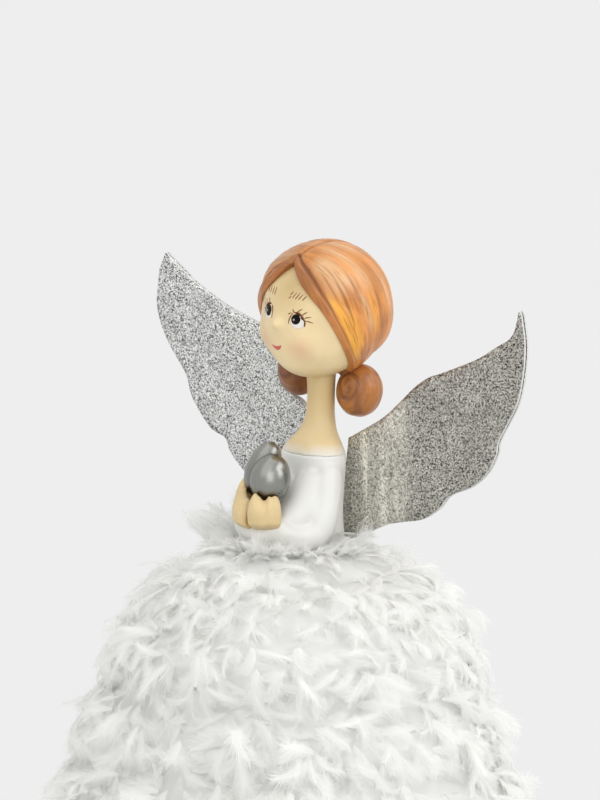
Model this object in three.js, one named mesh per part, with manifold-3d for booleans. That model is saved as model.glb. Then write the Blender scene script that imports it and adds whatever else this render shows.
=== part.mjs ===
// Light-up angel figurine: a cast resin bust with sheet wings, on a bell-shaped lampshade skirt
// covered by tiers of feather trim, over a battery base that closes the bell and lights it.
// Millimetres, +Z up. The figure faces -Y, and its left hand is on +X.
import * as THREE from "three";
import { mergeVertices } from "three/addons/utils/BufferGeometryUtils.js";
import Module from "manifold-3d";

const wasm = await Module();
wasm.setup();

// Driving sizes
const gap = 0.3; // clearance between pieces that touch
const overrun = 1; // how far a cut runs past the face that it opens
const facets = 40; // sides of the skirt's round pieces

const pad = { radius: 6, thickness: 2, circle: 76, count: 4 };
const plate = { thickness: 3, rimHeight: 7, rimWall: 2 };
const bell = {
  height: 191,
  hemRadius: 90,
  topRadius: 30,
  wall: 1.6,
  roof: 2,
  fullness: 2.2,
  shoulder: 1.3,
};
const fluff = { depth: 20.5 };
const trim = {
  tiers: 6,
  sheet: 3,
  root: 1.2,
  tuftPitch: 28,
  tuftDrop: 7,
  tuftFlare: 4,
  hemLift: 2.6,
};
const ruff = { height: 9, crest: 41, bore: 3, tuft: 1.6, backShare: 0.3 };

const torso = { height: 39.3, halfWidth: 15, halfDepth: 10.6, back: 14 };
const neck = { halfWidth: 5.5, halfDepth: 5.7, back: 17.6 };
const head = { radius: 24.5, rise: 55.7, aside: 1.5, back: 16, tiltDegrees: 8.5 };
const hair = { radius: 26, back: 3.4, up: 4, brim: 1.7 };
const bun = { radius: 9.4, halfHeight: 10.8, aside: 16.3, back: 10.5, down: 28.9, tieRadius: 4 };
const sleeve = { radius: 6 };
const heart = {
  lobeRadii: { 1: 8.1, "-1": 6.9 },
  lobeHalfHeight: 10,
  taperShare: 0.04,
  apart: 6.2,
  step: 3.2,
  drop: 4.1,
  splayDegrees: -5.5,
  swayDegrees: 8.5,
  leanDegrees: 15.5,
  front: 13.2,
  rise: 34.6,
};
const hand = { reach: 14.6, height: 13, rise: 11.5, core: 3, cleft: 1.6, dish: 3 };
const wing = { span: 97, height: 102, foot: 4, inset: 3.8, sheet: 0.9, sweep: 5.6, bow: 2 };

const cell = { radius: 7.25, length: 50.5, nubRadius: 2.7, nubHeight: 1.4, chamfer: 0.8 };
const bay = { springRoom: 6, wall: 1.6, play: 0.4, rib: 2 };
const door = { thickness: 1.6, lip: 3.6, play: 0.5, groove: 0.6, grooves: 3, grooveLength: 14 };
const tab = { width: 6, reach: 1.8, thickness: 1.2, stem: 2 };
const latch = { width: 10, blade: 1, rise: 5, nub: 0.35, room: 1.2 };
const contact = { thickness: 0.5, width: 11, height: 8, tailWidth: 3, tail: 4 };
const spring = { wire: 0.35, turns: 3, rootRadius: 3.4, tipRadius: 1.9 };
const toggle = {
  width: 12,
  depth: 6,
  height: 4.4,
  wall: 0.8,
  travel: 3,
  flange: 1.2,
  stem: 2.6,
  across: 2,
  proud: 0.8,
  offset: 14,
  pinSide: 0.7,
  pinRise: 2.2,
  solder: 1.4,
};
const ear = { length: 3.6, thickness: 1 };
const screw = { radius: 0.9, headRadius: 1.7, headHeight: 1, floor: 0.6 };
const board = {
  width: 18,
  depth: 12,
  thickness: 1.2,
  stand: 3,
  postRadius: 2,
  stakeRadius: 0.8,
  padInset: 2.2,
  away: 26,
};
const parts = { resistorRadius: 1.1, resistorLength: 6, chipWidth: 5, chipDepth: 4, chipHeight: 1.4 };
const bustScrew = { radius: 1.6, length: 24, headRadius: 3.4, headHeight: 2.4 };
const washer = { radius: 7, thickness: 1 };
const lead = { radius: 0.6, steps: 14 };
const string = {
  wire: 0.5,
  bead: 2,
  beads: 18,
  turns: 3,
  foot: 30,
  head: 150,
  stepsPerTurn: 20,
  startShare: 0.125,
};

// Heights and places that the sizes above stack up to
const plateFoot = pad.thickness;
const plateTop = plateFoot + plate.thickness;
const bellTop = plateTop + bell.height;
const shoulderLine = bellTop + torso.height;

const degrees = THREE.MathUtils.degToRad;
const mix = THREE.MathUtils.lerp;
const vec = (x, y, z) => new THREE.Vector3(x, y, z);

// Closed surfaces and booleans

// A closed three.js geometry as a manifold solid with its faces pointing out.
function solidOf(geometry) {
  const bare = new THREE.BufferGeometry();
  bare.setAttribute("position", geometry.getAttribute("position"));
  if (geometry.index) bare.setIndex(geometry.index);
  const merged = mergeVertices(bare, 1e-4);
  const vertProperties = merged.attributes.position.array;
  const triVerts = new Uint32Array(merged.index.array);
  const made = new wasm.Manifold(new wasm.Mesh({ numProp: 3, vertProperties, triVerts }));
  if (made.volume() > 0) return made;
  for (let i = 0; i < triVerts.length; i += 3)
    [triVerts[i], triVerts[i + 1]] = [triVerts[i + 1], triVerts[i]];
  return new wasm.Manifold(new wasm.Mesh({ numProp: 3, vertProperties, triVerts }));
}

// A manifold solid as a three.js geometry.
function geometryOf(solid) {
  const mesh = solid.getMesh();
  const positions = new Float32Array(mesh.numVert * 3);
  for (let i = 0; i < mesh.numVert; i++) {
    const from = i * mesh.numProp;
    positions.set(mesh.vertProperties.subarray(from, from + 3), i * 3);
  }
  const geometry = new THREE.BufferGeometry();
  geometry.setAttribute("position", new THREE.BufferAttribute(positions, 3));
  geometry.setIndex(new THREE.BufferAttribute(mesh.triVerts, 1));
  geometry.computeVertexNormals();
  return geometry;
}

const union = (...solids) => solids.reduce((whole, next) => whole.add(next));
const cut = (whole, ...tools) => tools.reduce((rest, tool) => rest.subtract(tool), whole);

const middleOf = (ring) =>
  ring.reduce((sum, point) => sum.add(point), vec(0, 0, 0)).divideScalar(ring.length);

// A skin over equal rings of points, closed on itself or capped by a fan to a point at each end.
function loft(rings, { loop = false, ends } = {}) {
  const count = rings[0].length;
  const points = rings.flat();
  const faces = [];
  const bands = loop ? rings.length : rings.length - 1;
  for (let i = 0; i < bands; i++)
    for (let j = 0; j < count; j++) {
      const here = i * count;
      const there = ((i + 1) % rings.length) * count;
      const next = (j + 1) % count;
      faces.push(here + j, there + j, there + next, here + j, there + next, here + next);
    }
  if (!loop) {
    const [first, final] = ends ?? [middleOf(rings[0]), middleOf(rings[rings.length - 1])];
    const start = points.push(first) - 1;
    const end = points.push(final) - 1;
    const top = (rings.length - 1) * count;
    for (let j = 0; j < count; j++) {
      const next = (j + 1) % count;
      faces.push(start, j, next, end, top + next, top + j);
    }
  }
  const geometry = new THREE.BufferGeometry().setFromPoints(points);
  geometry.setIndex(faces);
  return solidOf(geometry);
}

// A solid of revolution about Z from [radius, height] points.
function turned(profile, sides = facets) {
  const points = profile.map(([r, z]) => new THREE.Vector2(r, z));
  return solidOf(new THREE.LatheGeometry(points, sides).rotateX(Math.PI / 2));
}

// A block between two corners.
function block([x0, x1], [y0, y1], [z0, z1]) {
  const geometry = new THREE.BoxGeometry(x1 - x0, y1 - y0, z1 - z0);
  return solidOf(geometry.translate((x0 + x1) / 2, (y0 + y1) / 2, (z0 + z1) / 2));
}

// A block of a given width and depth about a point on the plan, between two heights.
const pillar = (x, y, width, depth, z0, z1) =>
  block([x - width / 2, x + width / 2], [y - depth / 2, y + depth / 2], [z0, z1]);

// An upright rod on (x, y) between two heights.
function rod(radius, x, y, z0, z1, sides = 16) {
  const geometry = new THREE.CylinderGeometry(radius, radius, z1 - z0, sides).rotateX(Math.PI / 2);
  return solidOf(geometry.translate(x, y, (z0 + z1) / 2));
}

// A round tube along a curve.
function wireAlong(curve, radius, steps, sides = 6) {
  const outline = Array.from({ length: sides }, (_, i) => {
    const turn = (2 * Math.PI * i) / sides;
    return new THREE.Vector2(radius * Math.cos(turn), radius * Math.sin(turn));
  });
  const extruded = { steps, extrudePath: curve };
  return solidOf(new THREE.ExtrudeGeometry(new THREE.Shape(outline), extruded));
}

// Round sections along a run of points, each with its own radius and closed by a round end.
function limb(points, radii, sides) {
  const curve = new THREE.CatmullRomCurve3(points);
  const side = vec(1, 0, 0);
  const rings = points.map((at, i) => {
    const along = curve.getTangent(i / (points.length - 1));
    side.addScaledVector(along, -side.dot(along)).normalize();
    const across = vec(0, 0, 0).crossVectors(along, side);
    return Array.from({ length: sides }, (_, k) => {
      const turn = (2 * Math.PI * k) / sides;
      return at
        .clone()
        .addScaledVector(side, radii[i] * Math.cos(turn))
        .addScaledVector(across, radii[i] * Math.sin(turn));
    });
  });
  return loft(rings);
}

// Level ovals stacked up, from rows [x, y, z, half width, half depth].
function stacked(rows, sides) {
  const oval = ([x, y, z, wide, deep]) =>
    Array.from({ length: sides }, (_, k) => {
      const turn = (2 * Math.PI * k) / sides;
      return vec(x + wide * Math.cos(turn), y + deep * Math.sin(turn), z);
    });
  return loft(rows.map(oval));
}

// A smooth value through knots, and a straight-line one, as functions.
const within = (at, knots) => THREE.MathUtils.clamp(at, knots[0], knots[knots.length - 1]);
const smoothThrough = (knots, values) => {
  const curve = new THREE.CubicInterpolant(knots, values, 1);
  return (at) => curve.evaluate(within(at, knots))[0];
};
const straightThrough = (knots, values) => {
  const line = new THREE.LinearInterpolant(knots, values, 1);
  return (at) => line.evaluate(within(at, knots))[0];
};

// Skirt: the bell

const bellRadius = (z) => {
  const share = THREE.MathUtils.clamp((z - plateTop) / bell.height, 0, 1);
  const swell = (1 - share ** bell.fullness) ** (1 / bell.shoulder);
  return bell.topRadius + (bell.hemRadius - bell.topRadius) * swell;
};

const bellRowShares = [0, 0.12, 0.3, 0.48, 0.64, 0.78, 0.88, 0.95, 1];
const bellOutside = bellRowShares.map((share) => {
  const z = plateTop + share * bell.height;
  return [bellRadius(z), z];
});
// The wall is measured square to the bell, so its level thickness grows as the bell leans in.
const bellInside = bellRowShares.map((share) => {
  const z = plateTop + share * (bell.height - bell.roof);
  return [bellRadius(z) - bell.wall * (1 + share), z];
});
const insideRadius = straightThrough(
  bellInside.map(([, z]) => z),
  bellInside.map(([r]) => r),
);

function skirtForm() {
  const roof = [
    [0, bellTop],
    [0, bellTop - bell.roof],
  ];
  const shade = turned([...bellOutside, ...roof, ...bellInside.toReversed(), bellOutside[0]]);
  const bottom = bellTop - bell.roof - overrun;
  return cut(shade, rod(bustScrew.radius + gap, 0, torso.back, bottom, bellTop + overrun));
}

// Skirt: the feather tiers and the ruff at the waist

// How deep the fluff stands over the bell, in shares of its depth, from the hem up to the waist.
const fluffKnotShares = [0, 0.03, 0.14, 0.29, 0.48, 0.59, 0.69, 0.79, 0.89, 0.94, 1];
const fluffDepthShares = [0.93, 1, 0.99, 0.85, 0.73, 0.7, 0.72, 0.87, 1.17, 1.29, 0.9];
const fluffDepth = smoothThrough(fluffKnotShares, fluffDepthShares);
const fluffRadius = (z) => {
  const share = (z - trim.hemLift) / (bellTop - trim.hemLift);
  return bellRadius(z) + fluff.depth * fluffDepth(share);
};

// A tier is a leaf-shaped ring: it springs from the bell and hangs out over the tier below,
// and its ribs drop and flare by turns as tufts. It is thin where the tier above covers it.
const leafShares = [0, 0.28, 0.62, 1];
const leafOverlap = 1.35;
const leafRise = 0.4;
const leafFillShares = [0.25, 0.62];
const tuftSinkShare = 0.4; // the share of the flare that lies inside the fluff's outline
const tierPitch =
  (bellTop - gap - trim.hemLift - trim.tuftDrop) / (trim.tiers - 1 + leafOverlap);

function tierSection(top, turn, tuft) {
  const front = [];
  const behind = [];
  for (const share of leafShares) {
    const z = top - share * (leafOverlap * tierPitch + trim.tuftDrop * tuft);
    const room = fluffRadius(z) - bellRadius(z) - gap - trim.sheet;
    const flare = trim.tuftFlare * share * (tuft - tuftSinkShare);
    const inner = bellRadius(z) + gap + share ** leafRise * room + flare;
    const fill = THREE.MathUtils.smoothstep(share, ...leafFillShares);
    const thick = mix(trim.root, trim.sheet, fill);
    front.push([inner + thick, z]);
    behind.unshift([inner, z]);
  }
  const place = ([r, z]) => vec(r * Math.sin(turn), -r * Math.cos(turn), z);
  return [...front, ...behind].map(place);
}

function featherTier(index) {
  const top = bellTop - gap - index * tierPitch;
  const girth = 2 * Math.PI * fluffRadius(top - tierPitch);
  const ribs = 2 * Math.round(girth / trim.tuftPitch);
  const sections = Array.from({ length: ribs }, (_, k) =>
    tierSection(top, (2 * Math.PI * k) / ribs, k % 2),
  );
  return loft(sections, { loop: true });
}

// The ruff's section, in shares of its crest and its height: a flat foot, a flared front that
// turns over at the crest, and a dish that runs in to the waist.
const ruffShares = [
  [0, 0],
  [0.7, 0],
  [0.97, 0.4],
  [1, 0.85],
  [0.86, 1],
  [0.62, 0.45],
  [0, 0.15],
];
const ruffFadeShares = [0.14, 0.34]; // how far from the back, in half turns, it rises again

function waistRuff() {
  const sections = Array.from({ length: facets }, (_, k) => {
    const turn = (2 * Math.PI * k) / facets;
    const fromBack = Math.abs(turn - Math.PI) / Math.PI;
    const lift = mix(ruff.backShare, 1, THREE.MathUtils.smoothstep(fromBack, ...ruffFadeShares));
    const tuft = ruff.tuft * (k % 2);
    return ruffShares.map(([out, up]) => {
      const r = mix(ruff.bore, ruff.crest, out) + tuft * up;
      return vec(r * Math.sin(turn), -r * Math.cos(turn), bellTop + lift * up * (ruff.height + tuft));
    });
  });
  return cut(loft(sections, { loop: true }), torsoBody(gap, overrun), leftArm(gap), rightArm(gap));
}

// Bust: the torso and the neck

// Rows of the torso: share of its height, of its half width and of its half depth.
const torsoShares = [
  [0, 0.94, 0.98],
  [0.2, 0.9, 0.95],
  [0.42, 0.88, 0.94],
  [0.64, 0.91, 0.98],
  [0.84, 0.97, 1],
  [1, 1, 0.98],
];

function torsoBody(grown, rise) {
  const rows = torsoShares.map(([up, wide, deep]) => [
    0,
    torso.back,
    bellTop + up * torso.height,
    wide * torso.halfWidth + grown,
    deep * torso.halfDepth + grown,
  ]);
  rows[0][2] -= rise;
  rows[rows.length - 1][2] += rise;
  return stacked(rows, 24);
}

function bodice() {
  const tip = screwSeat + bustScrew.length;
  const pilot = rod(bustScrew.radius + gap, 0, torso.back, bellTop - overrun, tip + overrun);
  return cut(torsoBody(0, 0), pilot);
}

// Rows of the neck: share of its rise to the head's centre, how far it has gone from the torso's
// axis to its own, and its swell towards the torso's width and depth.
const neckShares = [
  [0, 0, 0.97, 0.92],
  [0.035, 0.05, 0.84, 0.78],
  [0.08, 0.25, 0.64, 0.58],
  [0.14, 0.55, 0.33, 0.3],
  [0.23, 0.85, 0.1, 0.08],
  [0.38, 1, 0, 0],
  [0.56, 0.95, 0.06, 0.04],
  [0.72, 0.9, 0.2, 0.2],
];

function neckColumn(grown) {
  const rows = neckShares.map(([up, over, wide, deep]) => [
    mix(0, head.aside, up),
    mix(torso.back, neck.back, over),
    shoulderLine + up * head.rise,
    mix(neck.halfWidth, torso.halfWidth, wide) + grown,
    mix(neck.halfDepth, torso.halfDepth, deep) + grown,
  ]);
  return stacked(rows, 20);
}

// Bust: the head, in directions from its centre. The polar angle is counted from the face (-Y),
// and the turn about it is 0 upwards and positive towards the figure's left.
const aim = (polar, turn) =>
  vec(Math.sin(polar) * Math.sin(turn), -Math.cos(polar), Math.sin(polar) * Math.cos(turn));

// Modelled forms: where each is centred and how far it spreads, in degrees, and how far it stands
// out, as a share of the radius that it is added to.
const faceForms = [
  { at: [5, 180], spread: 5.5, riseShare: 0.09 }, // nose
  { at: [62, 180], spread: 24, riseShare: 0.07 }, // chin
  { at: [48, 125], spread: 14, riseShare: 0.035 }, // cheeks
  { at: [48, -125], spread: 14, riseShare: 0.035 },
  { at: [42, 90], spread: 15, riseShare: -0.09 }, // temples, drawn in beside the eyes
  { at: [42, -90], spread: 15, riseShare: -0.09 },
];
const hairForms = [
  { at: [68, 34], spread: 24, riseShare: 0.06 }, // the two curtains on each side of the parting
  { at: [68, -56], spread: 24, riseShare: 0.06 },
  { at: [127, 106], spread: 24, riseShare: 0.07 }, // the fullness above each bun
  { at: [127, -106], spread: 24, riseShare: 0.07 },
];

const swell = (direction, forms) =>
  forms.reduce((sum, { at: [polar, turn], spread, riseShare }) => {
    const away = THREE.MathUtils.radToDeg(direction.angleTo(aim(degrees(polar), degrees(turn))));
    return sum + riseShare * Math.exp(-((away / spread) ** 2));
  }, 0);

const faceRadius = (direction) => head.radius * (1 + swell(direction, faceForms));

const facePolarShares = [
  0.025, 0.055, 0.085, 0.12, 0.16, 0.21, 0.27, 0.33, 0.4, 0.48, 0.56, 0.65, 0.75, 0.87,
];

function headBall(grown) {
  const columns = 28;
  const onFace = (direction) => direction.clone().multiplyScalar(faceRadius(direction) + grown);
  const rings = facePolarShares.map((share) =>
    Array.from({ length: columns }, (_, k) =>
      onFace(aim(share * Math.PI, (2 * Math.PI * k) / columns)),
    ),
  );
  return loft(rings, { ends: [onFace(vec(0, -1, 0)), onFace(vec(0, 1, 0))] });
}

const headPlace = new THREE.Matrix4()
  .makeRotationY(degrees(head.tiltDegrees))
  .setPosition(head.aside, head.back, shoulderLine + head.rise);
const placed = (solid, matrix) => solid.transform(matrix.toArray());

function headAndNeck() {
  return union(placed(headBall(0), headPlace), neckColumn(0));
}

// Hair: a cap between the face and a ball set back from it, open over the face. The brim's polar
// angle, in degrees, falls from the parting to the temples and runs round to the nape.
const partingTurn = -12;
const brimTurns = [0, 10, 24, 40, 56, 72, 88, 104, 120, 140, 160, 180];
const leftBrimPolar = smoothThrough(brimTurns, [59, 50, 43, 40.5, 40, 42, 46, 52, 60, 77, 95, 113]);
const rightBrimPolar = smoothThrough(brimTurns, [59, 50, 43, 41, 45, 55, 65, 74, 83, 94, 104, 113]);
const brimSwellShares = [0.5, 1]; // the brim's thickness at its edge, and away from it
const brimRoundShare = 0.12; // how far back it thickens
const hairRingShares = [0, 0.05, 0.15, 0.28, 0.42, 0.57, 0.72, 0.87];

function hairRadius(direction, share) {
  const centre = vec(0, hair.back, hair.up);
  const along = direction.dot(centre);
  const ball = along + Math.sqrt(along ** 2 - centre.lengthSq() + hair.radius ** 2);
  const brim = hair.brim * mix(...brimSwellShares, Math.min(1, share / brimRoundShare));
  const least = faceRadius(direction) + gap + brim;
  return Math.max(ball + hair.radius * swell(direction, hairForms), least);
}

function hairDome(grown) {
  const columns = 32;
  const rings = hairRingShares.map((share) =>
    Array.from({ length: columns }, (_, k) => {
      const fromParting = (360 * Math.min(k, columns - k)) / columns;
      const brimPolar = k < columns / 2 ? leftBrimPolar : rightBrimPolar;
      const edge = degrees(brimPolar(fromParting)) - grown / hair.radius;
      const turn = degrees(partingTurn) + (2 * Math.PI * k) / columns;
      const direction = aim(mix(edge, Math.PI, share), turn);
      return direction.clone().multiplyScalar(hairRadius(direction, share) + grown);
    }),
  );
  const back = vec(0, 1, 0);
  return loft(rings, { ends: [vec(0, 0, 0), back.clone().multiplyScalar(hairRadius(back, 1) + grown)] });
}

const neckInHead = () => placed(neckColumn(gap), headPlace.clone().invert());
const hairCap = () => cut(hairDome(0), headBall(gap), neckInHead());

// A side bun: a ball under the cap, drawn in to a tie that meets the cap.
function bunKnot(side, grown) {
  const ball = new THREE.SphereGeometry(1, 16, 11);
  ball.scale(bun.radius + grown, bun.radius + grown, bun.halfHeight + grown);
  return solidOf(ball.translate(side * bun.aside, bun.back, -bun.down));
}

function sideBun(side) {
  const at = vec(side * bun.aside, bun.back, -bun.down);
  const knot = bunKnot(side, 0);
  const root = at.clone().multiplyScalar((hair.radius - bun.tieRadius) / at.length());
  const radii = [bun.tieRadius, bun.tieRadius, bun.tieRadius];
  const tie = limb([at, mixed(at, root, 0.5), root], radii, 10);
  return cut(union(knot, tie), hairDome(gap), headBall(gap), neckInHead());
}

const mixed = (from, to, share) => from.clone().lerp(to, share);

// Bust: the heart, two egg-shaped lobes side by side that lean back towards the bodice
const heartCentre = vec(0, -heart.front, bellTop + heart.rise);

function lobe(side, grown) {
  const radius = heart.lobeRadii[side] + grown;
  const halfHeight = heart.lobeHalfHeight + grown;
  const rows = 12;
  const profile = Array.from({ length: rows + 1 }, (_, i) => {
    const polar = (Math.PI * i) / rows;
    const taper = 1 - heart.taperShare * Math.cos(polar);
    return [i % rows ? radius * taper * Math.sin(polar) : 0, halfHeight * Math.cos(polar)];
  });
  const splay = degrees(heart.swayDegrees + side * heart.splayDegrees);
  const place = new THREE.Matrix4()
    .makeTranslation((side * heart.apart) / 2, (-side * heart.step) / 2, (-side * heart.drop) / 2)
    .multiply(new THREE.Matrix4().makeRotationX(-degrees(heart.leanDegrees)))
    .multiply(new THREE.Matrix4().makeRotationY(splay));
  return placed(turned(profile, 18), place).translate(heartCentre.toArray());
}

const heartBody = (grown) => union(lobe(1, grown), lobe(-1, grown));

// Hands: each is a mitt round the heart's foot, in turns about the heart's upright axis that are
// counted in degrees from -Y towards +X. Its rows are shares of the hand's height and reach, and
// each finger has its own share of the height, and clefts between it and the next.
const mittShares = [
  [0, 0.6],
  [0.15, 0.9],
  [0.4, 1],
  [0.7, 0.97],
  [0.9, 0.87],
  [1, 0.76],
];
const leftGrip = { from: 8, to: 66, fingerShares: [0.9, 1, 1.04, 0.95] };
const rightGrip = { from: -6, to: -112, fingerShares: [0.95, 1.25, 1.5, 1.32] };
const fingerSteps = 4;
const grooveShare = 0.05;

function cuppedHand(grip, sleeved) {
  const fingers = grip.fingerShares.length;
  const foot = bellTop + hand.rise;
  const sections = Array.from({ length: fingers * fingerSteps + 1 }, (_, k) => {
    const turn = degrees(mix(grip.from, grip.to, k / (fingers * fingerSteps)));
    const finger = Math.min(fingers - 1, Math.floor(k / fingerSteps));
    const crown = Math.sin((Math.PI * (k % fingerSteps)) / fingerSteps);
    const tall = grip.fingerShares[finger] * hand.height - hand.cleft * (1 - crown);
    const point = (reach, z) =>
      vec(heartCentre.x + reach * Math.sin(turn), heartCentre.y - reach * Math.cos(turn), z);
    const skin = ([up, out]) => {
      const groove = grooveShare * up * (1 - crown);
      return point(hand.reach * (out - groove), foot + up * tall);
    };
    const palm = [point(hand.core, foot + tall - hand.dish), point(hand.core, foot)];
    return [...mittShares.map(skin), ...palm];
  });
  return cut(loft(sections), heartBody(gap), sleeved);
}

// Sleeves: from the shoulder down to the elbow and forward to the hands.
// Points in shares of the torso: width, depth from its axis, height.
const upperArmShares = [
  [0.74, -0.25, 0.84],
  [0.86, -0.6, 0.64],
  [0.92, -0.9, 0.42],
  [0.88, -1.2, 0.25],
];
const leftForearmShares = [
  [0.72, -1.85, 0.2],
  [0.52, -2.45, 0.25],
  [0.38, -2.8, 0.33],
];
const rightForearmShares = [
  [0.8, -1.85, 0.2],
  [0.68, -2.45, 0.25],
  [0.56, -2.85, 0.33],
];
const armThickShares = [0.98, 1.04, 1.02, 0.98, 0.92, 0.9, 0.86];

function armTube(side, forearmShares, grown) {
  const points = [...upperArmShares, ...forearmShares].map(([wide, deep, up]) =>
    vec(
      side * wide * torso.halfWidth,
      torso.back + deep * torso.halfDepth,
      bellTop + up * torso.height,
    ),
  );
  const [elbowSide, cuff] = points.slice(-2);
  cuff.addScaledVector(cuff.clone().sub(elbowSide).normalize(), grown);
  return limb(points, armThickShares.map((share) => share * sleeve.radius + grown), 12);
}

const leftArm = (grown) => armTube(1, leftForearmShares, grown);
const rightArm = (grown) => armTube(-1, rightForearmShares, grown);

function sleeveOf(arm) {
  return cut(arm(0), torsoBody(gap, overrun));
}

// Wings: stations from the root to the tip, each with its trailing and its leading edge point,
// in shares of the span and the height. The two were bent by hand and differ.
const leftWingShares = [
  [0, 0.02, 0.05, 0.395],
  [0.063, -0.007, 0.127, 0.437],
  [0.152, 0.03, 0.233, 0.498],
  [0.243, 0.068, 0.323, 0.573],
  [0.345, 0.092, 0.375, 0.62],
  [0.43, 0.111, 0.411, 0.648],
  [0.519, 0.164, 0.467, 0.682],
  [0.574, 0.22, 0.519, 0.7],
  [0.69, 0.27, 0.609, 0.735],
  [0.778, 0.339, 0.699, 0.771],
  [0.828, 0.419, 0.768, 0.804],
  [0.842, 0.472, 0.8, 0.824],
  [0.941, 0.623, 0.862, 0.859],
  [0.976, 0.738, 0.897, 0.878],
  [0.988, 0.863, 0.932, 0.919],
  [0.968, 0.985, 0.955, 1],
];
const rightWingShares = [
  [0, 0.02, 0.038, 0.4],
  [0.063, -0.007, 0.085, 0.46],
  [0.157, 0.025, 0.146, 0.508],
  [0.249, 0.064, 0.213, 0.532],
  [0.342, 0.098, 0.262, 0.59],
  [0.425, 0.132, 0.305, 0.676],
  [0.488, 0.173, 0.353, 0.735],
  [0.545, 0.213, 0.399, 0.774],
  [0.59, 0.255, 0.456, 0.791],
  [0.617, 0.299, 0.545, 0.811],
  [0.709, 0.332, 0.627, 0.835],
  [0.807, 0.437, 0.713, 0.869],
  [0.843, 0.529, 0.796, 0.906],
  [0.949, 0.657, 0.87, 0.95],
  [1.005, 0.784, 0.925, 0.982],
  [0.993, 0.931, 0.958, 1.003],
];
const wingChordShares = [0, 0.25, 0.5, 0.75, 1];

function wingSheet(side, shares, layer) {
  const waist = torsoShares[1];
  const atInset = Math.sqrt(1 - (wing.inset / (waist[1] * torso.halfWidth)) ** 2);
  const seat = torso.back + waist[2] * torso.halfDepth * atInset;
  const root = seat + 2 * gap + layer * (wing.sheet + gap);
  const sections = shares.map(([lowX, lowZ, highX, highZ]) => {
    const row = (back) =>
      wingChordShares.map((chord) => {
        const out = mix(lowX, highX, chord);
        const bent = wing.sweep * out + wing.bow * 4 * out * (1 - out);
        return vec(
          side * (wing.inset + out * wing.span),
          root + bent + back * wing.sheet,
          bellTop + wing.foot + mix(lowZ, highZ, chord) * wing.height,
        );
      });
    return [...row(0), ...row(1).reverse()];
  });
  return cut(loft(sections), placed(bunKnot(side, gap), headPlace));
}

// Base: cells, their bay and its door

const doorTop = plateFoot + door.thickness;
const ledge = doorTop + gap;
const cellAxis = doorTop + bay.play + cell.radius;
const cellPitch = 2 * (cell.radius + bay.play);
const plateRoom = contact.thickness + 2 * gap;
const bayHalfLength = (cell.length + bay.springRoom + plateRoom) / 2;
const bayHalfWidth = cellPitch / 2 + cell.radius + bay.play;
const bayCeiling = cellAxis + cell.radius + bay.play;
const bayTop = bayCeiling + bay.wall;
const recessHalfLength = bayHalfLength + door.lip;
const recessHalfWidth = bayHalfWidth + door.lip / 2;
const doorHalfLength = recessHalfLength - door.play;
const doorHalfWidth = recessHalfWidth - door.play;
const hinge = { x: door.thickness / 2 - doorHalfLength, z: plateFoot + door.thickness / 2 };

const toggleAt = { x: 0, y: -(bayHalfWidth + bay.wall + toggle.offset) };
const boardAt = { x: board.away, y: toggleAt.y };
const boardFoot = plateTop + board.stand;
const boardTop = boardFoot + board.thickness;
const flangeLength = toggle.width - 2 * toggle.wall - toggle.travel - 2 * gap;
const knobAt = toggleAt.x - toggle.travel / 2;
const screwAway = (toggle.width + ear.length) / 2;
const screwFloor = plateFoot + screw.floor;

// A battery lying along X: its positive end points to +X for side 1, and to -X for side -1.
function battery(side) {
  const { radius, chamfer, nubRadius, nubHeight, length } = cell;
  const can = length - nubHeight;
  const body = turned(
    [
      [0, 0],
      [radius - chamfer, 0],
      [radius, chamfer],
      [radius, can - chamfer],
      [radius - chamfer, can],
      [nubRadius, can],
      [nubRadius, length],
      [0, length],
    ],
    20,
  );
  const tip = bayHalfLength - plateRoom;
  const place = new THREE.Matrix4()
    .makeRotationY((side * Math.PI) / 2)
    .setPosition(side * (tip - length), (side * cellPitch) / 2, cellAxis);
  return placed(body, place);
}

// A conical contact spring from a contact's face towards the cell, along X.
class ConeCoil extends THREE.Curve {
  constructor(from, reach, y, z) {
    super();
    Object.assign(this, { from, reach, y, z });
  }
  getPoint(t) {
    const turn = 2 * Math.PI * spring.turns * t;
    const radius = mix(spring.rootRadius, spring.tipRadius, t);
    const x = this.from + this.reach * t;
    return vec(x, this.y + radius * Math.cos(turn), this.z + radius * Math.sin(turn));
  }
}

function coil(end, y) {
  const face = bayHalfLength - gap - contact.thickness / 2;
  const stop = bayHalfLength - bay.springRoom + gap + spring.wire;
  const curve = new ConeCoil(end * face, end * (stop - face), y, cellAxis);
  return wireAlong(curve, spring.wire, 8 * spring.turns, 5);
}

// A contact plate at one end of the bay, over one cell or both.
function contactPlate(end, y, width) {
  const outer = end * (bayHalfLength - gap);
  const inner = outer - end * contact.thickness;
  const faces = [Math.min(inner, outer), Math.max(inner, outer)];
  const half = contact.height / 2;
  return block(faces, [y - width / 2, y + width / 2], [cellAxis - half, cellAxis + half]);
}

// A contact's solder tail, which stands up through the bay's ceiling.
function contactTail(y, play = 0) {
  const outer = bayHalfLength - gap + play;
  const inner = bayHalfLength - gap - contact.thickness - play;
  const half = contact.tailWidth / 2 + play;
  return block([inner, outer], [y - half, y + half], [cellAxis, bayTop + contact.tail + play]);
}

const positiveContact = () =>
  union(contactPlate(1, cellPitch / 2, contact.width), contactTail(cellPitch / 2));
const negativeContact = () =>
  union(
    contactPlate(1, -cellPitch / 2, contact.width),
    contactTail(-cellPitch / 2),
    coil(1, -cellPitch / 2),
  );
const bridgeContact = () =>
  union(contactPlate(-1, 0, cellPitch + contact.width), coil(-1, cellPitch / 2));

const tabPlaces = [-cellPitch / 2, cellPitch / 2];

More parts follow.
